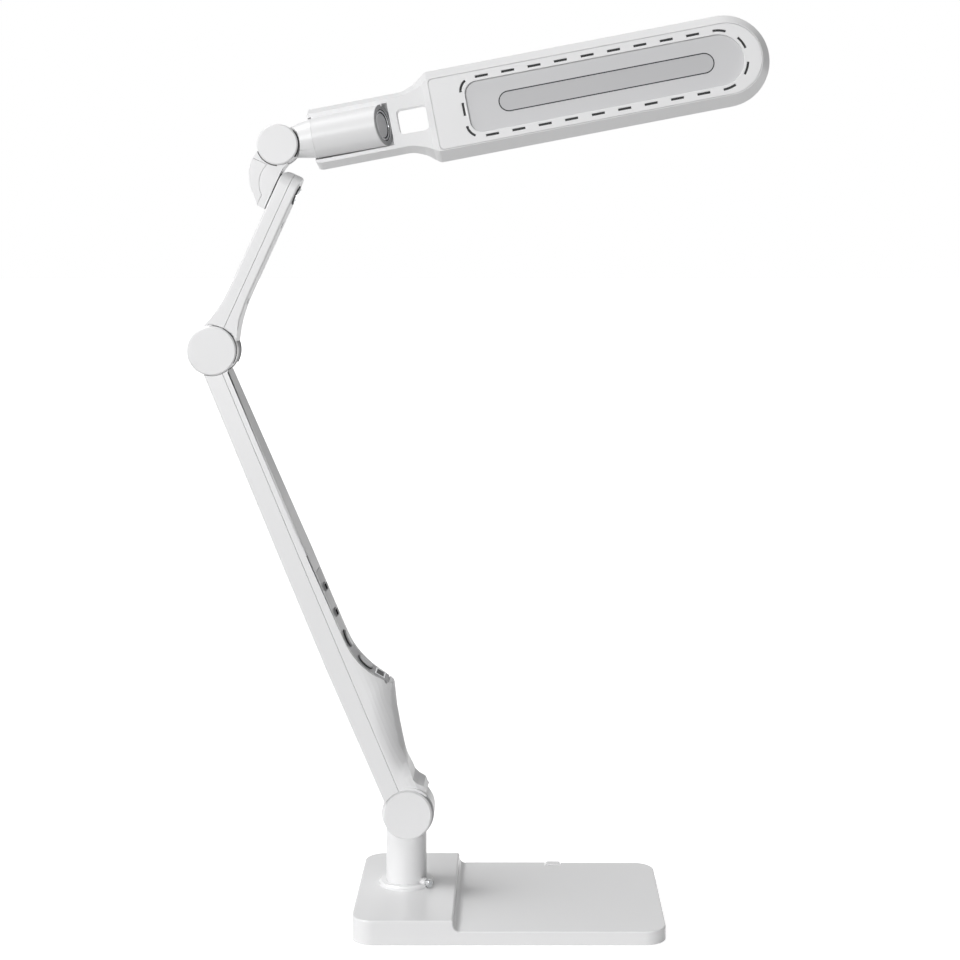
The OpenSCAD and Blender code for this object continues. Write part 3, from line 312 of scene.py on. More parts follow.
def slot_path():
    """Closed path of the slots round the diffuser, starting at the middle of its left side."""
    x0, half, corner = 126.5, 20, 9
    knots = (ROUND_END - 120, ROUND_END - 60)
    return ([(x0, 0)] + arc(x0 + corner, half - corner, corner, 180, 90, 10)
            + [(x, half) for x in knots] + arc(ROUND_END, 0, half, 90, -90, 60)
            + [(x, -half) for x in knots[::-1]]
            + arc(x0 + corner, corner - half, corner, 270, 180, 10))


def along(path, count):
    """Evenly spaced places and directions on a closed path."""
    ends = path[1:] + path[:1]
    lengths = [math.dist(a, b) for a, b in zip(path, ends)]
    pitch = sum(lengths) / count
    for i in range(count):
        left, step = i * pitch, 0
        while left > lengths[step]:
            left -= lengths[step]
            step += 1
        (ax, az), (bx, bz), long = path[step], ends[step], lengths[step]
        yield (ax + (bx - ax) * left / long, az + (bz - az) * left / long,
               math.atan2(bz - az, bx - ax))


def slot_steps(fine):
    """Step of each slot on a path cut into fine steps, with shorter spaces at the left end."""
    close = 4
    short = 0.9 * fine / SLOTS
    rest = (fine - close * short) / (SLOTS - close)
    return [round(-2 * short + i * short) % fine for i in range(close)] + [
        round(2 * short + i * rest) for i in range(SLOTS - close)]


def slot_outlines(length, width):
    """Slots that follow their path, each drawn as a short band."""
    path = slot_path()
    fine = list(along(path, SLOTS * SLOT_STEPS))
    reach = round(length / (total_length(path) / len(fine)) / 2)
    for start in slot_steps(len(fine)):
        run = [fine[(start + k) % len(fine)] for k in range(-reach, reach + 1, 2)]
        one, other = [[(x - out * math.sin(turn), z + out * math.cos(turn)) for x, z, turn in run]
                      for out in (width / 2, -width / 2)]
        yield one + other[::-1]


def total_length(path):
    return sum(math.dist(a, b) for a, b in zip(path, path[1:] + path[:1]))


# ------------------------------------------------------------------ node trees

def wire(tree, *ways):
    """Joins sockets. Each way is a node, its output, the next node and its input."""
    for source, output, target, socket in ways:
        tree.links.new(source.outputs[output], target.inputs[socket])


def tree_socket(tree, name, kind, way="INPUT", default=None):
    socket = tree.interface.new_socket(name=name, in_out=way, socket_type="NodeSocket" + kind)
    if default is not None:
        socket.default_value = default


def math_node(tree, operation, **values):
    """Math node whose inputs, by their place as a, b or c, hold the values."""
    node = tree.nodes.new("ShaderNodeMath")
    node.operation = operation
    for key, value in values.items():
        node.inputs["abc".index(key)].default_value = value
    return node


def row_group():
    """Geometry Nodes: flat strips set at the corners of a closed path, each turned along it."""
    tree = bpy.data.node_groups.new("Row along path", "GeometryNodeTree")
    tree_socket(tree, "Path", "Geometry")
    for name in ("Length", "Width", "Depth"):
        tree_socket(tree, name, "Float")
    tree_socket(tree, "Finish", "Material")
    tree_socket(tree, "Row", "Geometry", "OUTPUT")
    nodes = tree.nodes
    inside, outside = nodes.new("NodeGroupInput"), nodes.new("NodeGroupOutput")
    curve = nodes.new("GeometryNodeMeshToCurve")
    size = nodes.new("ShaderNodeCombineXYZ")
    strip = nodes.new("GeometryNodeMeshCube")
    place = nodes.new("GeometryNodeInstanceOnPoints")
    tangent = nodes.new("GeometryNodeInputTangent")
    turn = nodes.new("FunctionNodeAlignRotationToVector")
    turn.axis = "X"
    turn.pivot_axis = "Y"
    real = nodes.new("GeometryNodeRealizeInstances")
    coat = nodes.new("GeometryNodeSetMaterial")
    wire(tree, (inside, "Path", curve, "Mesh"), (inside, "Length", size, "X"),
         (inside, "Depth", size, "Y"), (inside, "Width", size, "Z"),
         (size, "Vector", strip, "Size"), (tangent, "Tangent", turn, "Vector"),
         (curve, "Curve", place, "Points"), (strip, "Mesh", place, "Instance"),
         (turn, "Rotation", place, "Rotation"), (place, "Instances", real, "Geometry"),
         (real, "Geometry", coat, "Geometry"), (inside, "Finish", coat, "Material"),
         (coat, "Geometry", outside, "Row"))
    return tree


# ------------------------------------------------------------------ finishes

def moulded_grain_group():
    """Fine moulding grain and a slow waviness, as a height, a roughness and a tint."""
    tree = bpy.data.node_groups.new("Moulded grain", "ShaderNodeTree")
    tree_socket(tree, "Grain scale", "Float", default=900.0)
    tree_socket(tree, "Roughness", "Float", default=0.35)
    tree_socket(tree, "Variation", "Float", default=0.05)
    tree_socket(tree, "Colour", "Color", default=(0.8, 0.8, 0.8, 1))
    tree_socket(tree, "Tint", "Float", default=0.03)
    tree_socket(tree, "Height", "Float", "OUTPUT")
    tree_socket(tree, "Surface roughness", "Float", "OUTPUT")
    tree_socket(tree, "Surface colour", "Color", "OUTPUT")
    nodes = tree.nodes
    inside, outside = nodes.new("NodeGroupInput"), nodes.new("NodeGroupOutput")
    place = nodes.new("ShaderNodeTexCoord")
    grain = nodes.new("ShaderNodeTexNoise")
    grain.inputs["Detail"].default_value = 3
    grain.inputs["Roughness"].default_value = 0.6
    wave = nodes.new("ShaderNodeTexNoise")
    wave.inputs["Scale"].default_value = 14
    wave.inputs["Detail"].default_value = 2
    blend = math_node(tree, "MULTIPLY_ADD", b=0.35)
    spread = nodes.new("ShaderNodeMapRange")
    for name, value in (("From Min", 0.3), ("From Max", 0.7), ("To Min", -1), ("To Max", 1)):
        spread.inputs[name].default_value = value
    rough = math_node(tree, "MULTIPLY_ADD")
    amount = math_node(tree, "MULTIPLY")
    shade = nodes.new("ShaderNodeMix")
    shade.data_type = "RGBA"
    shade.blend_type = "MULTIPLY"
    shade.inputs["B"].default_value = (0.72, 0.73, 0.75, 1)
    wire(tree, (place, "Object", grain, "Vector"), (inside, "Grain scale", grain, "Scale"),
         (place, "Object", wave, "Vector"), (wave, "Fac", blend, 0), (grain, "Fac", blend, 2),
         (blend, 0, outside, "Height"), (wave, "Fac", spread, "Value"),
         (spread, "Result", rough, 0), (inside, "Variation", rough, 1),
         (inside, "Roughness", rough, 2), (rough, 0, outside, "Surface roughness"),
         (wave, "Fac", amount, 0), (inside, "Tint", amount, 1),
         (amount, 0, shade, "Factor"), (inside, "Colour", shade, "A"),
         (shade, "Result", outside, "Surface colour"))
    return tree


def finish(name, colour, rough, grain=900.0, depth=0.00002, tint=0.05, metal=0.0, coat=0.0,
           variation=0.04, gloss=0.5):
    """A Principled finish whose colour, roughness and bump come from the grain group.

    The grain's scale is per metre, and depth is the height of its bumps in metres.
    """
    material = bpy.data.materials.new(name)
    material.use_nodes = True
    tree = material.node_tree
    surface = tree.nodes["Principled BSDF"]
    surface.inputs["Metallic"].default_value = metal
    surface.inputs["Coat Weight"].default_value = coat
    surface.inputs["Coat Roughness"].default_value = 0.08
    surface.inputs["Specular IOR Level"].default_value = gloss
    group = tree.nodes.new("ShaderNodeGroup")
    group.node_tree = bpy.data.node_groups.get("Moulded grain") or moulded_grain_group()
    group.inputs["Grain scale"].default_value = grain
    group.inputs["Roughness"].default_value = rough
    group.inputs["Variation"].default_value = variation
    group.inputs["Colour"].default_value = (*colour, 1)
    group.inputs["Tint"].default_value = tint
    bump = tree.nodes.new("ShaderNodeBump")
    bump.inputs["Distance"].default_value = depth
    bump.inputs["Strength"].default_value = 0.6
    wire(tree, (group, "Height", bump, "Height"),
         (group, "Surface roughness", surface, "Roughness"),
         (group, "Surface colour", surface, "Base Color"),
         (bump, "Normal", surface, "Normal"))


def finishes():
    """Every finish of the lamp, by name, made once from the colours in the panel."""
    tint = bpy.context.scene.desk_lamp_colours
    made = bpy.data.materials
    recipes = {
        "white shell": dict(colour=tint.shell, rough=0.32, grain=1400, depth=0.00001, tint=0.04),
        "white base": dict(colour=tint.base, rough=0.16, grain=900, depth=0.000008,
                           tint=0.05, coat=0.15),
        "white paint": dict(colour=tint.shell, rough=0.3, grain=700, depth=0.000012,
                            tint=0.04, coat=0.1),
        "chrome": dict(colour=(0.85, 0.86, 0.87), rough=0.14, grain=500, depth=0.000004,
                       metal=1.0),
        "zinc": dict(colour=(0.6, 0.61, 0.63), rough=0.34, grain=1500, depth=0.000012,
                     metal=1.0, tint=0.2),
        # mid grey that paints the shade on faces turned from the lamps: the control panel, the
        # slim keys and the barrel's mouth face
        "painted shade grey": dict(colour=(0.42, 0.42, 0.43), rough=0.34, grain=1400, depth=0.00001,
                           tint=0.05),
        "dark gloss": dict(colour=tint.dark, rough=0.3, grain=900, depth=0.000006,
                           tint=0.2, gloss=0.12),
        # near-black chrome: the dark colour paints the dark reflections in the key rings
        "chrome with painted dark reflection": dict(colour=(0.03, 0.03, 0.032), rough=0.25, grain=500, depth=0.000004,
                             metal=1.0),
        # near black, for the slot wells and for the painted shade in the gaps round the joints,
        # the swivel, the mouth and the lens
        "slot and gap shade dark": dict(colour=(0.018, 0.018, 0.02), rough=0.6, grain=2500, depth=0.00002,
                          tint=0.3),
        "rubber": dict(colour=(0.02, 0.02, 0.021), rough=0.75, grain=2500, depth=0.00004,
                       tint=0.3),
        "frosted": dict(colour=tint.diffuser, rough=0.42, grain=2600, depth=0.00001, tint=0.06),
        "frosted centre": dict(colour=tint.lens, rough=0.36, grain=2600, depth=0.00001,
                               tint=0.06),
        "grey cap": dict(colour=(0.82, 0.82, 0.83), rough=0.35, grain=1200, depth=0.00001),
        "natural washer": dict(colour=(0.72, 0.7, 0.62), rough=0.45, grain=1500, depth=0.00001),
        "board": dict(colour=(0.03, 0.12, 0.05), rough=0.35, grain=3000, depth=0.00002,
                      tint=0.4),
        "steel plate": dict(colour=(0.3, 0.3, 0.31), rough=0.5, grain=400, depth=0.00003,
                            metal=0.9, tint=0.4),
    }
    for name, recipe in recipes.items():
        if name not in made:
            finish(name, **recipe)
    return made


# ------------------------------------------------------------------ settings

def colour_setting(label, text, default):
    return bpy.props.FloatVectorProperty(name=label, description=text, default=default,
                                         subtype="COLOR", size=3, min=0, max=1)


def length_setting(label, text, default):
    return bpy.props.FloatProperty(name=label, description=text, default=default,
                                   min=0, soft_max=20)


class LampColours(bpy.types.PropertyGroup):
    shell: colour_setting("Shell", "Colour of the arms and the head", (0.8, 0.8, 0.805))
    base: colour_setting("Base", "Colour of the base", (0.82, 0.82, 0.825))
    dark: colour_setting("Dark trim", "Colour of the display and the keys' pips",
                         (0.012, 0.012, 0.014))
    diffuser: colour_setting("Diffuser", "Colour of the diffuser when off", (0.6, 0.6, 0.61))
    lens: colour_setting("Centre lens", "Colour of the centre lens when off", (0.5, 0.5, 0.51))


class LampSizes(bpy.types.PropertyGroup):
    base_edge: length_setting("Base edge", "Rounding of the base's edges, in millimetres", 1.0)
    arm_edge: length_setting("Arm edge", "Rounding of the arms' edges, in millimetres", 1.6)
    cap_edge: length_setting("Cap edge", "Rounding of the joint caps, in millimetres", 0.45)
    head_edge: length_setting("Head edge", "Rounding of the head's edges, in millimetres", 0.5)


# ------------------------------------------------------------------ stage

FRAME_PIXELS = 960          # width and height of the photograph
FOCAL_PIXELS = 1884         # the camera's focal length in the photograph's pixels
SIGHT = (517, 253)          # where the camera's level line of sight meets the photograph
SENSOR = 36
EYE = (0.0743, -1.267, 0.439)
FLOOR_HALF = 30000          # half of the floor's side, in millimetres
FLOOR_GREY = 0.52
BACKDROP = 0.86             # glow of the floor for the camera and in reflections
WORLD_LIGHT, WORLD_WHITE, WORLD_GLOSS = 0.15, 1.0, 0.55
LAMPS = (                   # name, direction towards the lamp, spread in degrees, strength
    ("key", (-0.36, -0.92, 0.14), 24, 1.98),
    ("back", (-0.1, 0.95, 0.3), 30, 0.9),
    ("top", (-0.52, -0.08, 0.85), 30, 1.72),
)


class LAMP_OT_stage(bpy.types.Operator):
    """Camera, floor, backdrop, lights and view settings"""
    bl_idname = "lamp.stage"
    bl_label = "Stage"

    def execute(self, context):
        scene = context.scene
        scene.view_settings.view_transform = "Standard"
        eye = bpy.data.cameras.new("Camera")
        camera = bpy.data.objects.new("Camera", eye)
        scene.collection.objects.link(camera)
        camera.location = EYE
        camera.rotation_euler = (math.radians(90), 0, 0)
        eye.sensor_width = SENSOR
        eye.lens = FOCAL_PIXELS / FRAME_PIXELS * SENSOR
        eye.shift_x = (FRAME_PIXELS / 2 - SIGHT[0]) / FRAME_PIXELS
        eye.shift_y = (SIGHT[1] - FRAME_PIXELS / 2) / FRAME_PIXELS
        scene.camera = camera
        self.floor()
        self.world(scene)
        self.lights(scene)
        return {"FINISHED"}

    def floor(self):
        corners = [(x * FLOOR_HALF, y * FLOOR_HALF, 0)
                   for x, y in ((-1, -1), (1, -1), (1, 1), (-1, 1))]
        floor = new_piece("floor", mesh_from("floor", corners, [(0, 1, 2, 3)], smooth=False))
        material = bpy.data.materials.new("floor")
        material.use_nodes = True
        tree = material.node_tree
        surface = tree.nodes["Principled BSDF"]
        surface.inputs["Base Color"].default_value = (FLOOR_GREY,) * 3 + (1,)
        surface.inputs["Roughness"].default_value = 0.9
        rays = tree.nodes.new("ShaderNodeLightPath")
        glow = tree.nodes.new("ShaderNodeEmission")
        glow.inputs["Color"].default_value = (1, 1, 1, 1)
        seen = math_node(tree, "MAXIMUM")
        strength = math_node(tree, "MULTIPLY", b=BACKDROP)
        both = tree.nodes.new("ShaderNodeAddShader")
        wire(tree, (rays, "Is Camera Ray", seen, 0), (rays, "Is Glossy Ray", seen, 1),
             (seen, 0, strength, 0), (strength, 0, glow, "Strength"), (surface, 0, both, 0),
             (glow, 0, both, 1), (both, 0, tree.nodes["Material Output"], "Surface"))
        floor.data.materials.append(material)

    def world(self, scene):
        world = bpy.data.worlds.new("studio")
        scene.world = world
        world.use_nodes = True
        tree = world.node_tree
        back = tree.nodes["Background"]
        back.inputs["Color"].default_value = (1, 1, 1, 1)
        rays = tree.nodes.new("ShaderNodeLightPath")
        seen = math_node(tree, "MAXIMUM")
        level = tree.nodes.new("ShaderNodeMapRange")
        level.inputs["To Min"].default_value = WORLD_LIGHT
        level.inputs["To Max"].default_value = WORLD_WHITE
        gloss = math_node(tree, "MULTIPLY_ADD", b=WORLD_GLOSS)
        wire(tree, (rays, "Is Camera Ray", seen, 0), (rays, "Is Transmission Ray", seen, 1),
             (seen, 0, level, "Value"), (rays, "Is Glossy Ray", gloss, 0),
             (level, "Result", gloss, 2), (gloss, 0, back, "Strength"))

    def lights(self, scene):
        for name, towards, spread, power in LAMPS:
            lamp = bpy.data.lights.new(name, "SUN")
            lamp.angle = math.radians(spread)
            lamp.energy = power
            body = bpy.data.objects.new(name, lamp)
            scene.collection.objects.link(body)
            body.rotation_euler = Vector(towards).to_track_quat("Z", "Y").to_euler()
            body.visible_glossy = name != "back"


# ------------------------------------------------------------------ pieces

SEAM_GAP = 0.13             # how far a shell's edge stands back from its parting plane


def skin(name, node, width, body, slot, look, **shape):
    """Seats a softened copy of a CAD node, which it stands for."""
    seat(softened(name, node, width, **shape), body, slot, look, node)


def part_line(at, side):
    """Moves the points on a parting plane back, which leaves a fine line between two shells."""
    def moved(point):
        if abs(point.x - at) < 0.02:
            point.x = at + side * SEAM_GAP
        return point
    return moved


class LAMP_OT_base(bpy.types.Operator):
    """Base shell, power inlet and the collar that holds the post"""
    bl_idname = "lamp.base"
    bl_label = "Base"
    low = 7.5                   # edges below this height keep their small rounding
    collar = 25                 # and so do those this near the post
    inlet, inlet_half, inlet_from = 97.5, 6, 50

    def execute(self, context):
        edge = context.scene.desk_lamp_sizes.base_edge
        skin("base_cover", "base_shell", 0.4, "base", "white_plastic", "white base",
             rounds=[(edge, self.rim)])
        skin("collar", "post_socket", 0.5, "base", "white_plastic", "white base")
        skin("inlet", "power_inlet", 0.3, "base", "white_plastic", "white base")
        return {"FINISHED"}

    def rim(self, *ends):
        return all(p.z > self.low and p.xy.length > self.collar
                   and not (abs(p.x - self.inlet) < self.inlet_half and p.y > self.inlet_from)
                   for p in ends)


class LAMP_OT_post(bpy.types.Operator):
    """Post with the round head of the shoulder joint"""
    bl_idname = "lamp.post"
    bl_label = "Post"

    def execute(self, context):
        skin("post_tube", "post", 0.5, "post_body", "white_metal", "white paint")
        return {"FINISHED"}


PARTING = 0.9                           # plane between the lower arm's shells
DISC_CUT, WIDER_CUT = 16.1, 16.75       # the shells' cut round the shoulder disc, before and after
ARM_HALF, ELBOW_HALF = 16, 11.5         # half of the lower arm's breadth, and at the elbow
NARROW_FROM, NARROW_OVER = 185, 150     # where the arm narrows, and over what length
HUMP_FOOT, HUMP_TOP = 20, 124           # where the control hump starts and ends along the arm
HUMP_SIDES, HUMP_REACH = 7, 24.8        # where its sides turn in, and its furthest point
HUMP_TURN = 8.4                         # how far the sides have turned in there
NOSE_DEPTH, NOSE_SLOPE = 17, 0.9        # depth of the nose's rounding, and its loss above
NOSE_FULL = 80                          # this height
NOSE_TURN = 7.6                         # how far the nose's sides come in at the front
NOSE_BACK = 0.95                        # points up to this far in front of the axis stay
CREASE = 2.9                            # how far the nose's edges stand back
ARM_FRONT = [(24, 12.9), (27, 12.7), (41, 14.8), (55, 17.6), (68, 20.5), (81.5, 24.6),
             (83.5, 24.8), (88, 21.2), (92.5, 18.1), (97, 15.4), (106, 11.4), (115, 7.8),
             (124, 6.6)]


def arm_half(x):
    """Half of the lower arm's breadth at a distance in front of its axis."""
    return ARM_HALF - HUMP_TURN * max(0, (x - HUMP_SIDES) / (HUMP_REACH - HUMP_SIDES)) ** 2


def wider_cut(point):
    """Opens the shells' cut round the shoulder disc."""
    reach = math.hypot(point.x, point.z)
    if abs(reach - DISC_CUT) < 0.12:
        point.x *= WIDER_CUT / reach
        point.z *= WIDER_CUT / reach
    return point


def fade(value, low, high):
    """Smooth step from 0 at low to 1 at high."""
    t = min(1, max(0, (value - low) / (high - low)))
    return t * t * (3 - 2 * t)


def straight(knots, at):
    """Straight lines through knots, flat before the first and after the last."""
    for (x0, y0), (x1, y1) in zip(knots, knots[1:]):
        if x0 <= at <= x1:
            return y0 + (y1 - y0) * (at - x0) / (x1 - x0)
    return knots[0][1] if at < knots[0][0] else knots[-1][1]


def through(knots, at):
    """Smooth curve through knots, flat before the first and after the last."""
    if at <= knots[0][0]:
        return knots[0][1]
    if at >= knots[-1][0]:
        return knots[-1][1]
    slopes = [0] + [(after[1] - before[1]) / (after[0] - before[0])
                    for before, after in zip(knots, knots[2:])] + [0]
    for (x0, y0), (x1, y1), m0, m1 in zip(knots, knots[1:], slopes, slopes[1:]):
        if at <= x1:
            h = x1 - x0
            t = (at - x0) / h
            return (y0 * (2 * t ** 3 - 3 * t ** 2 + 1) + m0 * h * (t ** 3 - 2 * t ** 2 + t)
                    + y1 * (3 * t ** 2 - 2 * t ** 3) + m1 * h * (t ** 3 - t ** 2))


def nose(point):
    """Rounds the hump's sides in to a blunt nose whose front is creased at both edges."""
    x, y, z = point
    if x <= NOSE_BACK or not HUMP_FOOT < z < HUMP_TOP:
        return point
    front = straight(ARM_FRONT, z)
    half = arm_half(min(x, HUMP_REACH))
    amount = fade(z, 22, 34) * (1 - fade(z, 78, 88))
    reach = min(front - PARTING, NOSE_DEPTH)
    if z > NOSE_FULL:
        reach = min(reach, NOSE_DEPTH - NOSE_SLOPE * (z - NOSE_FULL))
    t = min(1, max(0, (x - front + reach) / max(reach, 0.5)))
    goal = half * (1 - amount) + amount * (ARM_HALF - NOSE_TURN * t * t)
    share = min(1.0, abs(y) / max(half, 1))
    point.y = y * goal / half
    point.x = x - amount * CREASE * fade(z, 26, 50) * share ** 2 * t
    return point


class LAMP_OT_lower_arm(bpy.types.Operator):
    """Rear and front shells of the lower arm"""
    bl_idname = "lamp.lower_arm"
    bl_label = "Lower arm"

    def execute(self, context):
        edge = context.scene.desk_lamp_sizes.arm_edge
        back_seam, front_seam = part_line(PARTING, -1), part_line(PARTING, 1)
        skin("arm_back", "lower_arm_rear_shell", 0.25, "lower_arm", "white_plastic",
             "white shell", local=LOWER, reshape=lambda point: wider_cut(back_seam(point)),
             rounds=[(edge, self.back_corner)])
        skin("arm_front", "lower_arm_front_shell", 0.2, "lower_arm", "white_plastic",
             "white shell", angle=18, local=LOWER,
             reshape=lambda point: nose(wider_cut(front_seam(point))),
             rounds=[(edge * 0.6, self.front_corner)],
             slices=[(0, 2.5, 24.1, 18), (1, -6, 6, 4), (2, 24, 104, 20)])
        return {"FINISHED"}

    def back_corner(self, a, b):
        """The two long edges at the arm's back."""
        return max(a.x, b.x) < -8.5 and abs(a.z - b.z) > 20 and min(abs(a.y), abs(b.y)) > 9

    def front_corner(self, a, b):
        """The two long edges at the arm's front, above the hump and below the elbow."""
        return (min(a.x, b.x) > 3.5 and min(a.z, b.z) > 123 and max(a.z, b.z) < 322
                and all(abs(abs(p.y) - self.half_at(p)) < 0.35 for p in (a, b)))

    def half_at(self, point):
        taper = max(0, point.z - NARROW_FROM) * (ARM_HALF - ELBOW_HALF) / NARROW_OVER
        return arm_half(point.x) - taper


class LAMP_OT_controls(bpy.types.Operator):
    """Control panel, keys, chrome key rings and the display window, with painted shade on the
    panel and a painted dark reflection on the rings
    """
    bl_idname = "lamp.controls"
    bl_label = "Controls"
    key_foot, key_top = 6.4, 6.8        # a slim key's crown starts and is cut at these depths
    key_half = 5

    def execute(self, context):
        # the panel's grey paints the shade on the arm's right-facing front, where the panel sits
        skin("panel_inlay", "control_panel", 0.15, "lower_arm", "grey_plastic", "painted shade grey",
             local=LOWER, reshape=nose, slices=[(2, 84, 124, 16)])
        for name, node, width, body, slot, look in (
                # the key rings' near-black chrome paints their dark reflections
                ("key_rings", "button_rings", 0.15, "lower_arm", "bright_metal", "chrome with painted dark reflection"),
                ("display_bezel", "window_bezel", 0.2, "lower_arm", "bright_metal", "chrome"),
                ("display", "indicator_window", 0.1, "lower_arm", "dark_plastic", "dark gloss"),
                ("round_key_colour", "button_colour", 0.5, "key_colour", "white_plastic",
                 "white shell"),
                ("round_key_power", "button_power", 0.5, "key_power", "white_plastic",
                 "white shell")):
            skin(name, node, width, body, slot, look)
        for way, place in (("up", 159.6), ("down", 141)):
            name, body = "slim_key_" + way, "key_" + way
            # the slim keys take the same grey, painted shade like the panel's
            skin(name, "button_" + way, 0.3, body, "grey_plastic", "painted shade grey", local=LOWER,
                 reshape=self.crown, slices=[(1, -6, 6, 12)])
            pip = block(name + "_pip", (7.0, 8.4), (-3.2, 3.2), (place - 1.9, place + 1.9), 0.45,
                        LOWER)
            seat(pip, body, "dark_plastic", "dark gloss")
        return {"FINISHED"}

    def crown(self, point):
        """Gives a slim key a crowned top that runs out at both ends."""
        if point.x > self.key_top:
            fall = max(0, 1 - (abs(point.y) / self.key_half) ** 2)
            point.x = self.key_foot + (point.x - self.key_foot) * fall
        return point


class LAMP_OT_joint_caps(bpy.types.Operator):
    """Round caps of the shoulder, the elbow and the wrist"""
    bl_idname = "lamp.joint_caps"
    bl_label = "Joint caps"
    step = 1.3                  # how far the rim is drawn in behind a disc
    lip = ((13.2, 17.3), (15.7, 17.3), (16.4, 17.7), (16.1, 18.6), (13.2, 19.2))

    def execute(self, context):
        edge = context.scene.desk_lamp_sizes.cap_edge
        for name, node, body, centre, radius, depth, grow in (
                ("shoulder_discs", "shoulder_caps", "lower_arm", SHOULDER, 15.8, 12.2, 1.035),
                ("elbow_discs", "elbow_caps", "lower_arm", ELBOW, 16.5, 7.6, 1),
                ("wrist_discs", "wrist_caps", "knuckle", WRIST, 13.7, 9.3, 1)):
            skin(name, node, edge, body, "white_plastic", "white shell", angle=20,
                 local=Matrix.Translation(centre), reshape=self.undercut(radius, depth, grow),
                 slices=[(1, depth, depth + 0.3, 1), (1, -depth - 0.3, -depth, 1)])
        # near-black arcs of painted shade in the gaps beside the wrist and elbow discs
        for name, body, centre, low, high, inner, outer, spans in (
                ("wrist_gap_shade", "knuckle", WRIST, 8.65, 8.95, 13.2, 14.4,
                 ((-36, 42), (199, 268))),
                ("elbow_gap_shade", "lower_arm", ELBOW, 10.3, 10.6, 16.0, 16.95, ((-30, 64),))):
            place = Matrix.Translation(centre)
            arcs = [revolved(name, band(*sorted((side * low, side * high)), inner, outer), 1,
                             place, *span) for side in (-1, 1) for span in spans]
            seat(joined(name, arcs), body, "dark_plastic", "slot and gap shade dark")
        lips = [revolved("shoulder_lips", [(side * y, radius) for y, radius in self.lip], 1,
                         Matrix.Translation(SHOULDER), 46, 98) for side in (-1, 1)]
        seat(joined("shoulder_lips", lips), "lower_arm", "white_plastic", "white shell")
        return {"FINISHED"}

    def undercut(self, radius, depth, grow):
        """Draws the rim in behind the disc, which leaves a shadow line beside the arm."""
        def moved(point):
            flat = Vector((point.x, point.z))
            if abs(point.y) < depth + 0.1:
                if abs(flat.length - radius) < 0.2:
                    point.x, point.z = flat * ((radius - self.step) / flat.length)
            elif flat.length > radius - 1.2:
                point.x, point.z = flat * grow
            return point
        return moved


class LAMP_OT_upper_arm(bpy.types.Operator):
    """Left and right shells of the upper arm, its core and the swivel screw"""
    bl_idname = "lamp.upper_arm"
    bl_label = "Upper arm"
    top_round = 4.5
    dome = [(7.4, 0.02), (7.4, 5.4), (8.2, 5.4), (8.9, 4.9), (9.3, 3.6), (9.5, 1.8), (9.55, 0.02)]

    def execute(self, context):
        edge = context.scene.desk_lamp_sizes.arm_edge
        for way, side in (("left", -1), ("right", 1)):
            skin("upper_" + way, f"upper_arm_{way}_shell", 0.25, "upper_arm", "white_plastic",
                 "white shell", local=UPPER, reshape=part_line(1, side),
                 rounds=[(self.top_round, self.top_corner), (edge * 0.7, self.long_edge)])
        skin("upper_spine", "upper_arm_core", 0.4, "upper_arm", "arm_core", "white paint")
        skin("swivel_screw", "swivel_bolt", 0.2, "upper_arm", "bright_metal", "chrome")
        # a near-black ring under the dome paints the shade of the recess round the swivel screw
        seat(revolved("swivel_recess_shade", band(6.7, 7.5, 3.5, 6.7), 0, UPPER), "upper_arm",
             "dark_plastic", "slot and gap shade dark")
        seat(revolved("swivel_dome", self.dome, 0, UPPER), "upper_arm", "bright_metal", "chrome")
        return {"FINISHED"}

    def long_edge(self, a, b):
        """The edges along the arm, short of the elbow."""
        return (min(abs(a.x), abs(b.x)) > 5 and min(a.z, b.z) > -104
                and min(abs(a.y), abs(b.y)) > 7 and abs(a.y - b.y) < 0.5)

    def top_corner(self, a, b):
        """The corner above the swivel, on the left."""
        return max(a.x, b.x) < -6.3 and min(a.z, b.z) > 5 and abs(a.y - b.y) > 3


class LAMP_OT_knuckle(bpy.types.Operator):
    """Knuckle bracket and its curved cover"""
    bl_idname = "lamp.knuckle"
    bl_label = "Knuckle"
    face, set_face = -7.3, -7.75        # the bracket's face beside the arm, before and after

    def execute(self, context):
        skin("knuckle_body", "knuckle_bracket", 0.5, "knuckle", "white_metal", "white shell",
             local=UPPER, reshape=self.set_back)
        # a near-black disc paints the shade in the gap between the knuckle and the arm's top
        seat(revolved("knuckle_gap_shade", band(-7.7, -6.95, 4, 9.4), 0, UPPER), "knuckle",
             "dark_plastic", "slot and gap shade dark")
        skin("knuckle_back", "knuckle_cover", 0.5, "knuckle", "white_plastic", "white shell")
        return {"FINISHED"}

    def set_back(self, point):
        if abs(point.x - self.face) < 0.1:
            point.x = self.set_face
        return point


def wider_neck(point):
    """Grows the neck's tongue to the discs' size and its shaft into a cone."""
    flat = Vector((point.x, point.z))
    if abs(flat.length - 14.3) < 0.15 and abs(point.y) > 3.9:
        point.x, point.z = flat * (15.1 / flat.length)
    radius = point.yz.length
    if 9.2 < radius < 10.6 and point.x > 8.5:
        grow = 1 + (13.35 / 10.4 - 1) * min(1, (point.x - 8.5) / 15.1)
        point.y, point.z = point.y * grow, point.z * grow
        point.x += 0.3 * (point.x > 23.4)
    return point


def narrower(point, bore, goal, near):
    """Brings the points at one radius round the mouth's axis to another."""
    radius = point.yz.length
    if abs(radius - bore) < near:
        point.y, point.z = point.y * goal / radius, point.z * goal / radius
    return point


def forward(point, push):
    """Moves what lies in the mouth towards its face."""
    point.x += push * (point.x > -4)
    return point


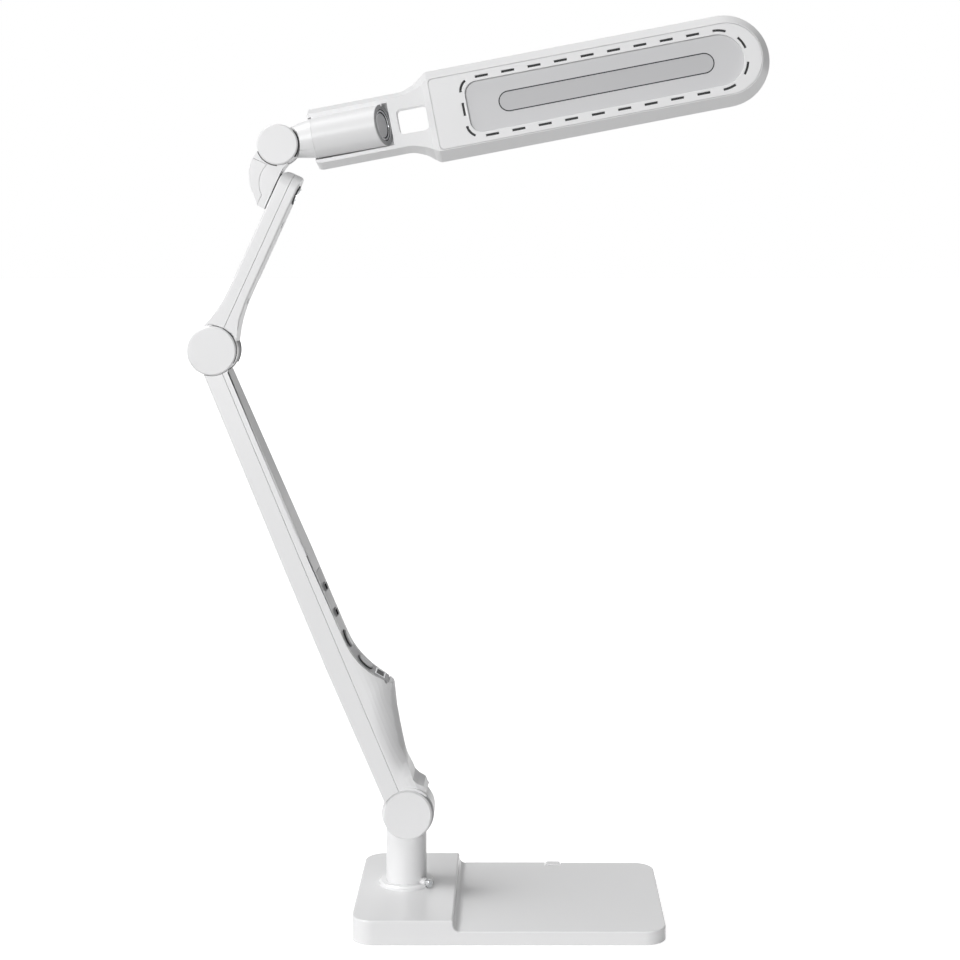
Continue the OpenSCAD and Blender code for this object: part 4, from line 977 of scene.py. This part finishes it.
class LAMP_OT_neck(bpy.types.Operator):
    """Neck that turns in the barrel, and the barrel with its slanted mouth"""
    bl_idname = "lamp.neck"
    bl_label = "Neck and barrel"

    def execute(self, context):
        skin("neck_piece", "neck", 0.12, "neck_body", "white_metal", "white shell", local=HEAD,
             reshape=wider_neck)
        skin("barrel_tube", "barrel", 0.2, "head", "white_plastic", "white shell", local=MOUTH,
             reshape=lambda p: narrower(p, 11.4, 10.95, 0.12) if p.x > -6 else p)
        skin("mouth_ring", "barrel_ring", 0.4, "head", "bright_metal", "chrome", local=MOUTH,
             reshape=lambda p: forward(narrower(p, 11.25, 10.4, 0.1), 1.7))
        skin("mouth_cap", "barrel_cap", 0.5, "head", "grey_plastic", "grey cap", local=MOUTH,
             reshape=lambda p: forward(p, 2.0))
        ledge = block("tray_ledge", (24.3, 72.5), (0.6, 1.4), (12.6, 15.6), 0.2, HEAD)
        seat(ledge, "head", "white_plastic", "white shell")
        # near-black rings paint the shade inside the barrel's mouth, round its bore and round the
        # cap
        shadows = [revolved("mouth_bore_shade", band(-3.2, -0.4, 10.35, 10.96), 0, MOUTH),
                   revolved("mouth_bore_shade", band(-1.35, -1.05, 8.4, 9.0), 0, MOUTH)]
        seat(joined("mouth_bore_shade", shadows), "head", "dark_plastic", "slot and gap shade dark")
        # a grey ring paints the shade on the barrel's slanted end face
        seat(revolved("mouth_end_shade", band(-0.1, 0.15, 10.97, 13.95), 0, MOUTH), "head",
             "grey_plastic", "painted shade grey")
        return {"FINISHED"}


class LAMP_OT_head(bpy.types.Operator):
    """Back shell of the head with its tray and hand window"""
    bl_idname = "lamp.head"
    bl_label = "Head shell"
    flare = [(84.2, 21), (95.2, 24.35), (101.4, 28.9), (105.5, 31.3)]
    flare_from, flare_over = 11, 5      # height above the axis where the curve starts, and spread
    tray_end, tray_half = 22.2, 15.5

    def execute(self, context):
        edge = context.scene.desk_lamp_sizes.head_edge
        skin("head_shell", "head_back_shell", edge, "head", "white_plastic", "white shell",
             local=HEAD, reshape=self.curve_flare, slices=[(0, 84.2, 105.5, 22)],
             rounds=[(4.2, self.low_corner), (1.2, self.high_corner)])
        return {"FINISHED"}

    def curve_flare(self, point):
        """Turns the straight steps of the flare into one smooth curve."""
        if self.flare[0][0] < point.x < self.flare[-1][0] and abs(point.z) > self.flare_from:
            grow = through(self.flare, point.x) / straight(self.flare, point.x)
            share = min(1, (abs(point.z) - self.flare_from) / self.flare_over)
            point.z *= 1 + (grow - 1) * share
        return point

    def low_corner(self, a, b):
        return (max(a.x, b.x) < self.tray_end and max(a.z, b.z) < -self.tray_half
                and abs(a.y - b.y) > 5)

    def high_corner(self, a, b):
        return (max(a.x, b.x) < self.tray_end and min(a.z, b.z) > self.tray_half
                and abs(a.y - b.y) > 5)


class LAMP_OT_light(bpy.types.Operator):
    """Face plate with its slots, diffuser and centre lens"""
    bl_idname = "lamp.light"
    bl_label = "Light"
    sheet = (-0.7, 1.3, 0.2)            # front, back and edge of the diffuser and the lens
    well = {"Length": 0.0094, "Width": 0.002, "Depth": 0.0003}
    well_depth = -1.5

    def execute(self, context):
        plate = [light_outline(106.2, 306, 23.9, 3), light_outline(129, ROUND_END, 17.4, 8.5),
                 *slot_outlines(9, 1.6)]
        seat(flat_piece("face_plate", plate, -3, -1, 0.22, HEAD), "head", "white_plastic",
             "white shell", "face_frame")
        sheet = [light_outline(127.8, ROUND_END, 18.6, 8), stadium(150.4, 297.8, 6.9)]
        seat(flat_piece("diffuser_sheet", sheet, *self.sheet, HEAD), "head",
             "diffuser_plastic", "frosted", "diffuser")
        seat(flat_piece("lens", [stadium(150.8, 297.4, 6.5)], *self.sheet, HEAD), "head",
             "lens_plastic", "frosted centre", "centre_lens")
        # a near-black ring paints the shade in the gap between the lens and the diffuser
        outline_shade = [stadium(150.25, 297.95, 7.05), stadium(151.05, 297.15, 6.25)]
        seat(flat_piece("lens_gap_shade", outline_shade, -0.75, -0.2, 0.02, HEAD), "head",
             "dark_plastic", "slot and gap shade dark")
        self.wells()
        return {"FINISHED"}

    def wells(self):
        """Dark strips behind the slots, set along their path by Geometry Nodes."""
        fine = list(along(slot_path(), SLOTS * SLOT_STEPS))
        places = [fine[step] for step in slot_steps(len(fine))]
        line = bpy.data.meshes.new("slot_wells")
        line.from_pydata([HEAD @ (Vector((x, self.well_depth, z)) * MM) for x, z, _ in places],
                         [(i, (i + 1) % SLOTS) for i in range(SLOTS)], [])
        piece = new_piece("slot_wells", line)
        tree = row_group()
        modifier = piece.modifiers.new("row", "NODES")
        modifier.node_group = tree
        values = {**self.well, "Finish": finishes()["slot and gap shade dark"]}
        for item in tree.interface.items_tree:
            if item.item_type == "SOCKET" and item.name in values:
                modifier[item.identifier] = values[item.name]
        bpy.context.view_layer.update()
        mesh = evaluated_mesh(piece)
        piece.modifiers.clear()
        piece.data = mesh
        mesh.name = "slot_wells"
        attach(piece, "head")


class LAMP_OT_inner_parts(bpy.types.Operator):
    """Finishes for the frame's own screws, washers, nuts, boards and inner parts"""
    bl_idname = "lamp.inner_parts"
    bl_label = "Screws and inner parts"
    looks = {
        "zinc": "base_screws socket_screws lower_arm_screws shoulder_bolt shoulder_nut "
                "elbow_bolt elbow_nut upper_arm_screws swivel_nut wrist_bolt wrist_nut "
                "roll_nut head_screws",
        "chrome": "lock_screw",
        "natural washer": "post_washer shoulder_washers elbow_washers swivel_washer "
                          "wrist_washers roll_washer",
        "white paint": "lower_arm_core",
        "rubber": "base_pad",
        "steel plate": "base_weight",
        "board": "control_board led_board",
        "frosted": "light_guide",
        "dark gloss": "reflector",
    }

    def execute(self, context):
        made = finishes()
        for look, names in self.looks.items():
            for node in names.split():
                NODES[node].data.materials.clear()
                NODES[node].data.materials.append(made[look])
        return {"FINISHED"}


class LAMP_PT_panel(bpy.types.Panel):
    """Lists the settings and the steps that build the lamp"""
    bl_idname = "LAMP_PT_panel"
    bl_label = "Desk Lamp"
    bl_space_type = "VIEW_3D"
    bl_region_type = "UI"
    bl_category = "Desk Lamp"

    def draw(self, context):
        layout = self.layout
        for settings in (context.scene.desk_lamp_colours, context.scene.desk_lamp_sizes):
            box = layout.box()
            for name in settings.__annotations__:
                box.prop(settings, name)
        for step in STEPS:
            layout.operator(step.bl_idname)


STEPS = (LAMP_OT_stage, LAMP_OT_base, LAMP_OT_post, LAMP_OT_lower_arm, LAMP_OT_controls,
         LAMP_OT_joint_caps, LAMP_OT_upper_arm, LAMP_OT_knuckle, LAMP_OT_neck, LAMP_OT_head,
         LAMP_OT_light, LAMP_OT_inner_parts)
CLASSES = (LampColours, LampSizes, *STEPS, LAMP_PT_panel)


def register():
    for each in CLASSES:
        bpy.utils.register_class(each)
    bpy.types.Scene.desk_lamp_colours = bpy.props.PointerProperty(type=LampColours)
    bpy.types.Scene.desk_lamp_sizes = bpy.props.PointerProperty(type=LampSizes)


def unregister():
    del bpy.types.Scene.desk_lamp_sizes
    del bpy.types.Scene.desk_lamp_colours
    for each in reversed(CLASSES):
        bpy.utils.unregister_class(each)


def main():
    register()
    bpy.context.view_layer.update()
    for step in STEPS:
        group, name = step.bl_idname.split(".")
        getattr(getattr(bpy.ops, group), name)()


if __name__ == "__main__":
    main()
